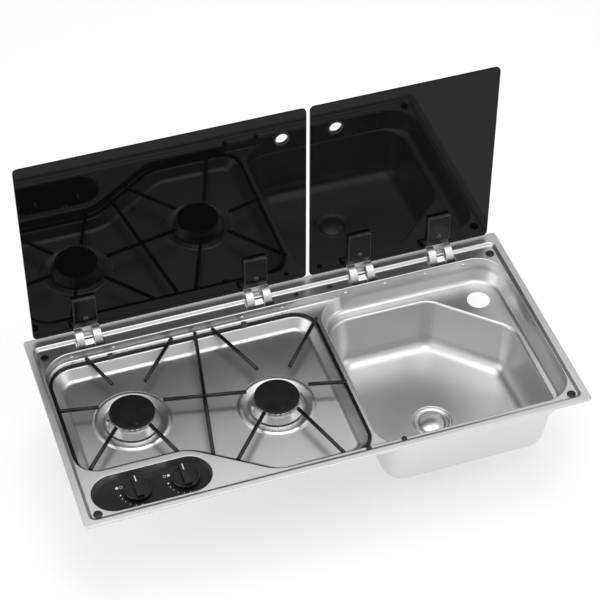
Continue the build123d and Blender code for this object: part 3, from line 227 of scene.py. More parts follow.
def rounded_section(levels: Sequence[Ring], bends: Sequence[float | Sequence[float]],
                    steps: int = 5) -> list[Ring]:
    """Rings of a wall whose section has rounded bends.

    Args:
        levels: rings through the sharp corners of the section, from its start to its end.
        bends: length taken by the bend on each side of each inner level, one value or one per point.
        steps: faces round each bend.

    Returns:
        Rings from the first level to the last, with each inner level replaced by its bend.
    """
    rings = [levels[0]]
    for index in range(1, len(levels) - 1):
        made = [[] for _ in range(steps + 1)]
        bend = bends[index - 1]
        for point, corner in enumerate(levels[index]):
            reach = bend if isinstance(bend, (int, float)) else bend[point]
            back = levels[index - 1][point] - corner
            ahead = levels[index + 1][point] - corner
            if min(back.length, ahead.length, reach) < 1e-6:
                for ring in made:
                    ring.append(corner.copy())
                continue
            back.normalize()
            ahead.normalize()
            turn = math.pi - back.angle(ahead)
            handle = 4 / 3 * math.tan(turn / 4) / math.tan(turn / 2) if turn > 1e-3 else 2 / 3
            first, last = corner + back * reach, corner + ahead * reach
            near_first, near_last = first.lerp(corner, handle), last.lerp(corner, handle)
            for step, ring in enumerate(made):
                t = step / steps
                s = 1 - t
                ring.append(first * s ** 3 + near_first * 3 * s * s * t
                            + near_last * 3 * s * t * t + last * t ** 3)
        rings.extend(made)
    rings.append(levels[-1])
    return rings


def bent_profile(points: Sequence[tuple[float, float]], bends: Sequence[float],
                 steps: int = 4) -> list[tuple[float, float]]:
    """Closed profile in a plane with its points rounded.

    Args:
        points: its sharp corners.
        bends: length taken by the rounding on each side of each corner.
        steps: faces round each corner.

    Returns:
        The rounded profile's points.
    """
    corners = [[Vector((a, b, 0))] for a, b in points]
    middle = corners[0][0].lerp(corners[-1][0], 0.5)
    rings = rounded_section([[middle], *corners, [middle]], bends, steps)
    return [(ring[0].x, ring[0].y) for ring in rings[:-1]]


# ---------------------------------------------------------------- meshes

class MeshBuilder:
    """Collects points and faces in millimetres and turns them into one object."""

    def __init__(self) -> None:
        """Start with nothing."""
        self.points: list[Vector] = []
        self.faces: list[tuple[int, ...]] = []

    def add(self, ring: Iterable[Vector]) -> list[int]:
        """Add points.

        Args:
            ring: the points.

        Returns:
            Their numbers.
        """
        start = len(self.points)
        self.points.extend(Vector(p) for p in ring)
        return list(range(start, len(self.points)))

    def bridge(self, rings: Sequence[Ring], closed: bool = True, flip: bool = False) -> None:
        """Quads between rings of equal length.

        Args:
            rings: the rings in order.
            closed: whether each ring ends where it began.
            flip: whether the faces look the other way.
        """
        numbers = [self.add(ring) for ring in rings]
        for low, high in zip(numbers, numbers[1:]):
            count = len(low)
            for index in range(count if closed else count - 1):
                after = (index + 1) % count
                face = (low[index], low[after], high[after], high[index])
                self.faces.append(tuple(reversed(face)) if flip else face)

    def fill(self, outer: Ring, holes: Sequence[Ring] = (), flip: bool = False) -> None:
        """Flat area inside one ring and outside others, in well-shaped triangles.

        Args:
            outer: ring round the area.
            holes: rings that stay open.
            flip: whether the faces look down.
        """
        loops = [outer, *holes]
        numbers = [number for loop in loops for number in self.add(loop)]
        edges = []
        for loop in loops:
            start = len(edges)
            edges += [(start + i, start + (i + 1) % len(loop)) for i in range(len(loop))]
        flat, _, triangles, origins, _, _ = delaunay_2d_cdt(
            [self.points[number].to_2d() for number in numbers], edges, [], 1, 1e-5)
        known = [numbers[old[0]] if old else self.add([spot.to_3d() + UP * outer[0].z])[0]
                 for spot, old in zip(flat, origins)]
        for triangle in triangles:
            corners = [flat[i] for i in triangle]
            middle = sum(corners, Vector((0, 0))) / 3
            if not inside(middle, outer) or any(inside(middle, hole) for hole in holes):
                continue
            up = (corners[1] - corners[0]).cross(corners[2] - corners[0]) > 0
            face = tuple(known[i] for i in triangle)
            self.faces.append(face if up != flip else tuple(reversed(face)))

    def build(self, name: str, merge: float = 0.0005) -> bpy.types.Object:
        """Object with its points merged and its faces smooth.

        Args:
            name: name of the object.
            merge: distance in millimetres under which points become one.

        Returns:
            The linked object, in metres.
        """
        mesh = bpy.data.meshes.new(name)
        mesh.from_pydata([p * MM for p in self.points], [], self.faces)
        work = bmesh.new()
        work.from_mesh(mesh)
        bmesh.ops.remove_doubles(work, verts=work.verts, dist=merge * MM)
        bmesh.ops.dissolve_degenerate(work, edges=work.edges, dist=merge * MM * 0.5)
        work.to_mesh(mesh)
        work.free()
        mesh.polygons.foreach_set("use_smooth", [True] * len(mesh.polygons))
        return linked(name, mesh)


def linked(name: str, data: bpy.types.ID) -> bpy.types.Object:
    """Put data into the scene.

    Args:
        name: name of the object.
        data: mesh, lamp or camera that it shows.

    Returns:
        The new object.
    """
    made = bpy.data.objects.new(name, data)
    bpy.context.scene.collection.objects.link(made)
    return made


def modify(piece: bpy.types.Object, kind: str, **settings: object) -> None:
    """Apply one modifier to a mesh for good.

    Args:
        piece: the object.
        kind: Blender's name for the type of modifier.
        settings: the modifier's values by their names.
    """
    modifier = piece.modifiers.new(kind.lower(), kind)
    for name, value in settings.items():
        setattr(modifier, name, value)
    bpy.context.view_layer.update()
    made = bpy.data.meshes.new_from_object(piece.evaluated_get(bpy.context.evaluated_depsgraph_get()))
    piece.modifiers.clear()
    piece.data = made


class Combine(Enum):
    """How a second solid changes a first one."""

    CUT = "DIFFERENCE"
    WELD = "UNION"


def combine(piece: bpy.types.Object, other: bpy.types.Object, how: Combine = Combine.CUT) -> None:
    """Cut a closed mesh out of another or weld it on, and drop it."""
    modify(piece, "BOOLEAN", operation=how.value, solver="EXACT", object=other)
    bpy.data.objects.remove(other)


def soften(piece: bpy.types.Object, width: float, segments: int = 3, angle: float = 40.0) -> None:
    """Round every edge that is sharper than the angle."""
    modify(piece, "BEVEL", width=width * MM, segments=segments, limit_method="ANGLE",
           angle_limit=math.radians(angle), harden_normals=False)


def shade(piece: bpy.types.Object, sharp_angle: float = 40.0, weighted: bool = True) -> None:
    """Smooth shading that keeps flat faces flat and real corners crisp.

    Args:
        piece: the object.
        sharp_angle: angle in degrees from which an edge counts as a corner.
        weighted: whether large faces pull the shading of their edges flat.
    """
    mesh = piece.data
    mesh.polygons.foreach_set("use_smooth", [True] * len(mesh.polygons))
    work = bmesh.new()
    work.from_mesh(mesh)
    limit = math.radians(sharp_angle)
    for edge in work.edges:
        edge.smooth = len(edge.link_faces) == 2 and edge.calc_face_angle(0.0) < limit
    work.to_mesh(mesh)
    work.free()
    if weighted:
        modify(piece, "WEIGHTED_NORMAL", keep_sharp=True, weight=100)


def place(piece: bpy.types.Object, matrix: Matrix) -> bpy.types.Object:
    """Move the mesh itself, so that the object stays at the origin."""
    piece.data.transform(matrix)
    return piece


def shift(x: float, y: float, z: float) -> Matrix:
    """Translation in millimetres."""
    return Matrix.Translation(Vector((x, y, z)) * MM)


def joined(name: str, pieces: Sequence[bpy.types.Object],
           places: Sequence[Matrix] = (Matrix.Identity(4),)) -> bpy.types.Object:
    """Join pieces that have no finish yet, and drop them.

    Args:
        name: name of the whole.
        pieces: what it is made of.
        places: where all of it is repeated.

    Returns:
        The whole.
    """
    work = bmesh.new()
    for matrix in places:
        for piece in pieces:
            moved = piece.data.copy()
            moved.transform(matrix)
            work.from_mesh(moved)
            bpy.data.meshes.remove(moved)
    mesh = bpy.data.meshes.new(name)
    work.to_mesh(mesh)
    work.free()
    for piece in pieces:
        bpy.data.objects.remove(piece)
    return linked(name, mesh)


def outward(piece: bpy.types.Object) -> bpy.types.Object:
    """Turn the faces of a closed mesh to its outside.

    Args:
        piece: the object.

    Returns:
        The same object.
    """
    work = bmesh.new()
    work.from_mesh(piece.data)
    bmesh.ops.recalc_face_normals(work, faces=work.faces)
    work.to_mesh(piece.data)
    work.free()
    return piece


def turned(name: str, profile: Sequence[tuple[float, float]], steps: int = 96,
           closed: bool = True) -> bpy.types.Object:
    """Turned piece about Z.

    Args:
        name: name of the object.
        profile: (radius, height) points, with the outside on the right of the path upwards.
        steps: faces round the axis.
        closed: whether the profile comes back to its start.

    Returns:
        The piece.
    """
    builder = MeshBuilder()
    rings = [Chain.circle(0, 0, radius, steps).ring(0, z) for radius, z in profile]
    builder.bridge([*rings, rings[0]] if closed else rings)
    return builder.build(name)


def extruded(name: str, outline: Sequence[Sequence[float]], bottom: float, top: float,
             holes: Sequence[Chain] = ()) -> bpy.types.Object:
    """Block on any outline, with sharp edges.

    Args:
        name: name of the object.
        outline: points of the outline.
        bottom: level of the lower face.
        top: level of the upper face.
        holes: outlines of the holes, anticlockwise.

    Returns:
        The closed block.
    """
    builder = MeshBuilder()
    low, high = [[Vector((point[0], point[1], level)) for point in outline] for level in (bottom, top)]
    builder.bridge([low, high])
    for hole in holes:
        builder.bridge([hole.ring(0, bottom), hole.ring(0, top)], flip=True)
    builder.fill(low, [hole.ring(0, bottom) for hole in holes], flip=True)
    builder.fill(high, [hole.ring(0, top) for hole in holes])
    return outward(builder.build(name))


def slab(name: str, outer: Chain, holes: Sequence[Chain], bottom: float, top: float,
         edge: float) -> bpy.types.Object:
    """Flat plate with rounded edges and round or shaped holes.

    Args:
        name: name of the object.
        outer: outline of the plate, anticlockwise.
        holes: outlines of the holes, anticlockwise.
        bottom: level of the lower face.
        top: level of the upper face.
        edge: length taken by the rounding of every edge.

    Returns:
        The closed plate.
    """
    builder = MeshBuilder()
    reach = edge * 1.5
    for chain, sign in ((outer, 1.0), *((hole, -1.0) for hole in holes)):
        levels = [chain.ring(sign * reach, bottom), chain.ring(0, bottom), chain.ring(0, top),
                  chain.ring(sign * reach, top)]
        builder.bridge(rounded_section(levels, [edge, edge], 4), flip=sign < 0)
    builder.fill(outer.ring(reach, top), [hole.ring(-reach, top) for hole in holes])
    builder.fill(outer.ring(reach, bottom), [hole.ring(-reach, bottom) for hole in holes], flip=True)
    return builder.build(name)


def rod(name: str, path: Sequence[Vector], radius: float, closed: bool = False,
        sides: int = 20, blunt: float = 0.4) -> bpy.types.Object:
    """Round rod along a level path, its ends cut square with a small chamfer.

    Args:
        name: name of the object.
        path: points of the centre line.
        radius: radius of the rod.
        closed: whether the path comes back to its start.
        sides: faces round the rod.
        blunt: chamfer of the ends.

    Returns:
        The closed rod.
    """
    count = len(path)
    stations: list[tuple[Vector, Vector, float]] = []
    for index, point in enumerate(path):
        before = path[index - 1] if closed or index else path[0]
        after = path[(index + 1) % count] if closed or index < count - 1 else path[-1]
        stations.append((point, (after - before).normalized(), radius))
    if not closed:
        (first, ahead, _), (last, leaving, _) = stations[0], stations[-1]
        stations[0] = (first + ahead * blunt, ahead, radius)
        stations[-1] = (last - leaving * blunt, leaving, radius)
        stations = [(first, ahead, radius - blunt), *stations, (last, leaving, radius - blunt)]
    turns = [2 * math.pi * step / sides for step in range(sides)]
    rings = []
    for point, along, reach in stations:
        side = along.cross(UP)
        rings.append([point + (side * math.cos(t) + UP * math.sin(t)) * reach for t in turns])
    builder = MeshBuilder()
    builder.bridge([*rings, rings[0]] if closed else rings)
    if not closed:
        builder.faces.append(tuple(builder.add(rings[0])))
        builder.faces.append(tuple(reversed(builder.add(rings[-1]))))
    return outward(builder.build(name))


def cross_recess(reach: float, half: float, floor: float, top: float) -> bpy.types.Object:
    """Cutter for the cross in a screw's head.

    Args:
        reach: half the length of each bar.
        half: half the width of each bar.
        floor: level of the recess's floor.
        top: level of the cutter's top.

    Returns:
        The cutter.
    """
    bars = [extruded(f"cross_{number}", [(-a, -b), (a, -b), (a, b), (-a, b)], floor, top)
            for number, (a, b) in enumerate(((reach, half), (half, reach)))]
    combine(bars[0], bars[1], Combine.WELD)
    return bars[0]


# ---------------------------------------------------------------- shared shader effects

def add_node(tree: bpy.types.NodeTree, kind: str, values: dict[str | int, object] | None = None,
             **settings: object) -> bpy.types.Node:
    """Add a node to a tree.

    Args:
        tree: the tree.
        kind: type of the node.
        values: what its input sockets start with, by name or number.
        settings: its own settings by their names.

    Returns:
        The node.
    """
    made = tree.nodes.new(kind)
    for name, value in settings.items():
        setattr(made, name, value)
    for socket, value in (values or {}).items():
        made.inputs[socket].default_value = value
    return made


def principled(name: str, values: dict[str, object]) -> tuple[bpy.types.Material, bpy.types.Node]:
    """Make a node material.

    Args:
        name: name of the material.
        values: constants on the sockets of its shader.

    Returns:
        The material and its shader.
    """
    made = bpy.data.materials.new(name)
    made.use_nodes = True
    shader = made.node_tree.nodes["Principled BSDF"]
    for socket, value in values.items():
        shader.inputs[socket].default_value = value
    return made, shader


class Effects:
    """Node groups that several finishes use, each built once."""

    @staticmethod
    def _start(name: str, inputs: Sequence[tuple[str, str, object]],
               outputs: Sequence[str]) -> tuple[bpy.types.NodeTree, bpy.types.Node, bpy.types.Node]:
        """New group with its sockets.

        Args:
            name: name of the group.
            inputs: (name, socket type, default) of each input.
            outputs: name of each output, all of them plain numbers.

        Returns:
            The tree, its input node and its output node.
        """
        tree = bpy.data.node_groups.new(name, "ShaderNodeTree")
        for label, kind, default in inputs:
            tree.interface.new_socket(name=label, in_out="INPUT", socket_type=kind).default_value = default
        for label in outputs:
            tree.interface.new_socket(name=label, in_out="OUTPUT", socket_type="NodeSocketFloat")
        return tree, tree.nodes.new("NodeGroupInput"), tree.nodes.new("NodeGroupOutput")

    @classmethod
    @cache
    def grain(cls) -> bpy.types.NodeTree:
        """Fine lines drawn out along one direction, as brushing or drawing leaves them.

        Returns:
            The group, with its lines for the roughness and their height for a bump.
        """
        tree, start, end = cls._start("drawn_grain", [
            ("Stretch", "NodeSocketVector", (4.0, 400.0, 400.0)), ("Contrast", "NodeSocketFloat", 0.5),
        ], ["Lines", "Height"])
        where = add_node(tree, "ShaderNodeTexCoord")
        drawn = add_node(tree, "ShaderNodeVectorMath", operation="MULTIPLY")
        noise = add_node(tree, "ShaderNodeTexNoise", {"Scale": 1.0, "Detail": 3.0, "Roughness": 0.6})
        centred = add_node(tree, "ShaderNodeMath", {1: 0.5}, operation="SUBTRACT")
        scaled = add_node(tree, "ShaderNodeMath", operation="MULTIPLY")
        link = tree.links.new
        link(where.outputs["Object"], drawn.inputs[0])
        link(start.outputs["Stretch"], drawn.inputs[1])
        link(drawn.outputs[0], noise.inputs["Vector"])
        link(noise.outputs["Fac"], centred.inputs[0])
        link(centred.outputs[0], scaled.inputs[0])
        link(start.outputs["Contrast"], scaled.inputs[1])
        link(scaled.outputs[0], end.inputs["Lines"])
        link(noise.outputs["Fac"], end.inputs["Height"])
        return tree

    @classmethod
    @cache
    def mottle(cls) -> bpy.types.NodeTree:
        """Broad soft patches, as wiping, casting or moulding leaves them.

        Returns:
            The group, with patches that go from its low value to its high one.
        """
        tree, start, end = cls._start("soft_mottle", [
            ("Size", "NodeSocketFloat", 12.0), ("Low", "NodeSocketFloat", 0.4),
            ("High", "NodeSocketFloat", 0.6)], ["Patches"])
        where = add_node(tree, "ShaderNodeTexCoord")
        noise = add_node(tree, "ShaderNodeTexNoise", {"Detail": 4.0, "Roughness": 0.55})
        spread = add_node(tree, "ShaderNodeMapRange", {"From Min": 0.3, "From Max": 0.7})
        link = tree.links.new
        link(where.outputs["Object"], noise.inputs["Vector"])
        link(start.outputs["Size"], noise.inputs["Scale"])
        link(noise.outputs["Fac"], spread.inputs["Value"])
        link(start.outputs["Low"], spread.inputs["To Min"])
        link(start.outputs["High"], spread.inputs["To Max"])
        link(spread.outputs["Result"], end.inputs["Patches"])
        return tree

    @classmethod
    @cache
    def edge_wear_and_highlight(cls) -> bpy.types.NodeTree:
        """Mask that is bright along raised edges and broken up by noise: edge wear, and on the glossy
        mouldings and knobs a painted highlight along the edges.

        Returns:
            The group.
        """
        tree, start, end = cls._start("edge_wear_and_highlight", [
            ("Amount", "NodeSocketFloat", 0.5), ("Break Up", "NodeSocketFloat", 90.0)], ["Mask"])
        shape = add_node(tree, "ShaderNodeNewGeometry")
        raised = add_node(tree, "ShaderNodeMapRange", {"From Min": 0.5, "From Max": 0.62})
        where = add_node(tree, "ShaderNodeTexCoord")
        noise = add_node(tree, "ShaderNodeTexNoise")
        broken = add_node(tree, "ShaderNodeMath", operation="MULTIPLY")
        scaled = add_node(tree, "ShaderNodeMath", operation="MULTIPLY", use_clamp=True)
        link = tree.links.new
        link(shape.outputs["Pointiness"], raised.inputs["Value"])
        link(where.outputs["Object"], noise.inputs["Vector"])
        link(start.outputs["Break Up"], noise.inputs["Scale"])
        link(raised.outputs["Result"], broken.inputs[0])
        link(noise.outputs["Fac"], broken.inputs[1])
        link(broken.outputs[0], scaled.inputs[0])
        link(start.outputs["Amount"], scaled.inputs[1])
        link(scaled.outputs[0], end.inputs["Mask"])
        return tree


# ---------------------------------------------------------------- finishes

class Grain(Enum):
    """Direction in which a metal was brushed or drawn, as noise scales per metre."""

    ALONG_X = (6.0, 900.0, 900.0)
    TURNED = (260.0, 260.0, 1800.0)
    CAST = (700.0, 700.0, 700.0)


@dataclass(frozen=True)
class Finish:
    """One surface finish of the unit, made as a node material."""

    name: str
    colour: tuple[float, float, float]
    metallic: float = 0.0
    roughness: float = 0.4
    grain: Grain = Grain.CAST
    grain_depth: float = 0.1
    grain_contrast: float = 0.1
    mottle_size: float = 10.0
    mottle_depth: float = 0.05
    # Lighter colour along raised edges: wear on most finishes, a painted edge highlight on the glossy
    # mouldings and knobs.
    wear_and_highlight: float = 0.0
    wear_and_highlight_colour: tuple[float, float, float] = (0.7, 0.7, 0.7)
    specular: float = 0.5

    @cache
    def material(self) -> bpy.types.Material:
        """Make the node material on first use.

        Returns:
            The material, the same one each time.
        """
        made, shader = principled(self.name, {"Metallic": self.metallic, "Specular IOR Level": self.specular})
        tree, link = made.node_tree, made.node_tree.links.new
        grain = add_node(tree, "ShaderNodeGroup", {
            "Stretch": self.grain.value, "Contrast": self.grain_contrast}, node_tree=Effects.grain())
        mottle = add_node(tree, "ShaderNodeGroup", {
            "Size": self.mottle_size,
            "Low": self.roughness * (1 - self.mottle_depth),
            "High": self.roughness * (1 + self.mottle_depth)}, node_tree=Effects.mottle())
        # Edge mask: wear, and on the mouldings and knobs a painted edge highlight.
        wear_and_highlight = add_node(tree, "ShaderNodeGroup", {"Amount": self.wear_and_highlight}, node_tree=Effects.edge_wear_and_highlight())
        rough = add_node(tree, "ShaderNodeMath", operation="ADD", use_clamp=True)
        tone = add_node(tree, "ShaderNodeMix", {"A": (*self.colour, 1.0), "B": (*self.wear_and_highlight_colour, 1.0)},
                        data_type="RGBA")
        bump = add_node(tree, "ShaderNodeBump", {"Strength": self.grain_depth, "Distance": 0.1 * MM})
        link(mottle.outputs["Patches"], rough.inputs[0])
        link(grain.outputs["Lines"], rough.inputs[1])
        link(rough.outputs[0], shader.inputs["Roughness"])
        link(wear_and_highlight.outputs["Mask"], tone.inputs["Factor"])
        link(tone.outputs["Result"], shader.inputs["Base Color"])
        link(grain.outputs["Height"], bump.inputs["Height"])
        link(bump.outputs["Normal"], shader.inputs["Normal"])
        return made


@dataclass(frozen=True)
class Glass:
    """Black toughened glass: a dark body under a clear, hard face."""

    name: str
    colour: tuple[float, float, float]
    roughness: float
    specular: float = 0.19
    mottle_size: float = 7.0
    mottle_depth: float = 0.4

    @cache
    def material(self) -> bpy.types.Material:
        """Make the node material on first use.

        Returns:
            The material, the same one each time.
        """
        made, shader = principled(self.name, {"Base Color": (*self.colour, 1.0), "IOR": 1.52,
                                              "Specular IOR Level": self.specular})
        mottle = add_node(made.node_tree, "ShaderNodeGroup", {
            "Size": self.mottle_size,
            "Low": self.roughness * (1 - self.mottle_depth),
            "High": self.roughness * (1 + self.mottle_depth)}, node_tree=Effects.mottle())
        made.node_tree.links.new(mottle.outputs["Patches"], shader.inputs["Roughness"])
        return made


class Finishes:
    """Every finish on the unit."""

    STEEL = Finish("satin_steel", (0.72, 0.72, 0.725), metallic=1.0, roughness=0.355, grain=Grain.ALONG_X,
                   grain_depth=0.015, grain_contrast=0.03, mottle_size=6.0, mottle_depth=0.1)
    BRIGHT_STEEL = Finish("polished_steel", (0.78, 0.78, 0.79), metallic=1.0, roughness=0.3,
                          grain=Grain.TURNED, grain_depth=0.01, grain_contrast=0.03, mottle_size=20.0,
                          mottle_depth=0.1)
    ARM_STEEL = Finish("bright_plated_arms", (0.88, 0.88, 0.88), metallic=1.0, roughness=0.4,
                       grain_depth=0.05, grain_contrast=0.05, mottle_size=30.0, mottle_depth=0.2)
    # Dark phosphated steel; on the hinge brackets its darkness also stands in for painted shade in the arm
    # slots.
    DARK_STEEL_AND_SLOT_SHADE = Finish("phosphated_steel_and_slot_shade", (0.1, 0.1, 0.1), metallic=1.0, roughness=0.45,
                           grain_depth=0.1, grain_contrast=0.08, mottle_size=25.0, mottle_depth=0.2)
    SCREW_STEEL = Finish("dark_plated_screws", (0.16, 0.16, 0.16), metallic=1.0, roughness=0.22,
                         grain_depth=0.05, grain_contrast=0.05, mottle_size=30.0, mottle_depth=0.2)
    WALL_SCREW_STEEL = Finish("bright_plated_screws", (0.8, 0.8, 0.81), metallic=1.0, roughness=0.12,
                              grain_depth=0.02, grain_contrast=0.03, mottle_size=30.0, mottle_depth=0.1)
    GLASS = Glass("toughened_glass", (0.004, 0.004, 0.0042), 0.03)
    # The moulding's strong lightening along its edges is a painted highlight.
    MOULDING = Finish("gloss_moulding", (0.004, 0.004, 0.004), roughness=0.12, grain_depth=0.02,
                      grain_contrast=0.03, mottle_size=40.0, mottle_depth=0.2, wear_and_highlight=0.8,
                      wear_and_highlight_colour=(0.3, 0.3, 0.3), specular=0.26)
    PANEL = Finish("black_panel", (0.01, 0.01, 0.0105), roughness=0.42, grain_depth=0.15,
                   grain_contrast=0.06, mottle_size=30.0, mottle_depth=0.15, wear_and_highlight=0.2,
                   wear_and_highlight_colour=(0.04, 0.04, 0.04), specular=0.25)
    # The knob's lightening along its edges is a painted highlight.
    KNOB = Finish("black_knob", (0.006, 0.006, 0.006), roughness=0.22, grain_depth=0.05, grain_contrast=0.05,
                  mottle_size=40.0, mottle_depth=0.15, wear_and_highlight=0.4, wear_and_highlight_colour=(0.06, 0.06, 0.06),
                  specular=0.45)
    MARKING = Finish("white_marking", (0.75, 0.75, 0.74), roughness=0.5, grain_depth=0.1,
                     grain_contrast=0.05, mottle_size=60.0, mottle_depth=0.1)
    # The sleeve's pale colour is partly its own and partly a painted highlight.
    PALE_CERAMIC_AND_HIGHLIGHT = Finish("pale_ceramic_and_highlight", (0.86, 0.86, 0.84), roughness=0.2, grain_depth=0.05,
                     grain_contrast=0.05, mottle_size=60.0, mottle_depth=0.1, specular=0.7)
    WIRE = Finish("enamelled_wire", (0.005, 0.005, 0.005), roughness=0.26, grain_depth=0.05,
                  grain_contrast=0.04, mottle_size=60.0, mottle_depth=0.2, wear_and_highlight=0.2,
                  wear_and_highlight_colour=(0.03, 0.03, 0.03), specular=0.4)
    CROWN = Finish("turned_alloy", (0.66, 0.66, 0.665), metallic=1.0, roughness=0.34, grain=Grain.TURNED,
                   grain_depth=0.08, grain_contrast=0.05, mottle_size=30.0, mottle_depth=0.2)
    RUBBER = Finish("black_rubber", (0.008, 0.008, 0.008), roughness=0.24, grain_depth=0.1,
                    grain_contrast=0.06, mottle_size=60.0, mottle_depth=0.1, specular=0.5)
    ENAMEL = Finish("cap_enamel", (0.007, 0.007, 0.007), roughness=0.4, grain_depth=0.1, grain_contrast=0.06,
                    mottle_size=50.0, mottle_depth=0.25, wear_and_highlight=0.25, wear_and_highlight_colour=(0.04, 0.04, 0.04),
                    specular=0.25)
    ALLOY = Finish("cast_alloy", (0.42, 0.42, 0.43), metallic=1.0, roughness=0.45, grain_depth=0.35,
                   grain_contrast=0.1, mottle_size=40.0, mottle_depth=0.2)
    BRASS = Finish("plain_brass", (0.72, 0.53, 0.25), metallic=1.0, roughness=0.3, grain=Grain.TURNED,
                   grain_depth=0.15, grain_contrast=0.08, mottle_size=30.0, mottle_depth=0.2)
    PIPE = Finish("drawn_pipe", (0.5, 0.51, 0.52), metallic=1.0, roughness=0.3, grain_depth=0.15,
                  grain_contrast=0.08, mottle_size=30.0, mottle_depth=0.2)
    WASTE_PLASTIC = Finish("drain_plastic", (0.1, 0.1, 0.105), roughness=0.45, grain_depth=0.2,
                           grain_contrast=0.08, mottle_size=40.0, mottle_depth=0.15)


def dress(piece: bpy.types.Object, finish: Finish | Glass) -> bpy.types.Object:
    """Give the whole piece one finish.

    Args:
        piece: the object.
        finish: its finish.

    Returns:
        The same object.
    """
    piece.data.materials.clear()
    piece.data.materials.append(finish.material())
    return piece


def stand_in(piece: bpy.types.Object, body: str, slot: str, *nodes: str) -> None:
    """Let a dressed piece ride on its body and show in place of CAD nodes.

    Args:
        piece: the dressed object.
        body: name of the moving or fixed body that carries it.
        slot: name of the CAD material that it belongs to; not used.
        nodes: the CAD nodes it replaces, if any.
    """
    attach(piece, body)
    if nodes:
        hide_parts(*nodes)
    LOG.info("%s rides on %s, %d faces", piece.name, body, len(piece.data.polygons))


def dress_node(name: str, finish: Finish | Glass) -> None:
    """Give a CAD node that stays in view its finish.

    Args:
        name: name of the node.
        finish: its finish.
    """
    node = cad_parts[name]
    if not node.material_slots:
        node.data.materials.append(finish.material())
    for slot in node.material_slots:
        slot.material = finish.material()
    LOG.info("%s stays as modelled, in %s", name, finish.name)


# ---------------------------------------------------------------- layout shared by several sub-assemblies

@dataclass(frozen=True)
class Layout:
    """Places and levels of the CAD model that more than one sub-assembly uses, in millimetres."""

    ledge_z: float = -5.0
    recess_z: float = -22.0
    shelf_z: float = -24.0
    hob_floor_z: float = -42.0
    tub_z: float = -50.0
    bowl_floor_z: float = -150.0
    waste_z: float = -152.5
    basin_x: float = 431.5
    basin_front: float = -197.0
    basin_back: float = 173.0
    rail_left: float = -426.0
    rail_right: float = 65.0
    rail_front: float = -190.0
    rail_back: float = 157.0
    rail_notch: tuple[float, float] = (-240.0, -97.0)
    rail_angle: float = 34.9
    rail_bends: tuple[float, float, float] = (35.0, 45.0, 70.0)
    burners: Profile = ((-307.0, 17.0), (-59.0, -28.0))
    knobs: Profile = ((-344.0, -157.0), (-261.5, -157.0))
    spindle_hole: float = 7.0
    panel: tuple[float, float] = (-320.0, -160.0)
    waste: tuple[float, float] = (224.0, -60.0)
    hinges: tuple[float, ...] = (-336.0, -21.0, 177.0, 331.0)
    pin: tuple[float, float] = (206.5, -10.0)
    glass_foot: float = 5.5
    glass_front: float = 214.5
    glass_back: float = 219.0

    def diagonal_x(self, y: float, clearance: float) -> float:
        """Find the pan support's diagonal, or its parallel further out.

        Args:
            y: depth at which it is wanted.
            clearance: how far out the parallel lies.

        Returns:
            Its place across the deck.
        """
        angle = math.radians(self.rail_angle)
        notch_x, notch_y = self.rail_notch
        return notch_x + (notch_y - y) / math.tan(angle) - clearance / math.sin(angle)

    def rail(self, steps: int = 12, extra: int = 0) -> Chain:
        """Centre line of the pan support's rail.

        Args:
            steps: faces round each bend.
            extra: points added on each straight.

        Returns:
            The closed outline.
        """
        notch_x, notch_y = self.rail_notch
        front_bend, back_bend, notch_bend = self.rail_bends
        return Chain.rounded([
            (self.rail_right, self.rail_front, front_bend), (self.rail_right, self.rail_back, back_bend),
            (self.rail_left, self.rail_back, back_bend), (self.rail_left, notch_y, front_bend),
            (notch_x, notch_y, notch_bend),
            (self.diagonal_x(self.rail_front, 0), self.rail_front, notch_bend),
        ], steps, extra)


LAYOUT = Layout()


def outward_ring(chain: Chain, reaches: Sequence[float], z: float) -> Ring:
    """Points at one level, moved outwards, each by its own reach."""
    return chain.ring([-reach for reach in reaches], z)


def bends_within(chain: Chain, outline: Sequence[Vector], most: float, share: float) -> list[float]:
    """Bends as wide as the room between a chain and an outline lets them be."""
    return [min(most, share * gap) for gap in gap_to(chain.points, outline)]


# ---------------------------------------------------------------- pressed deck and sink

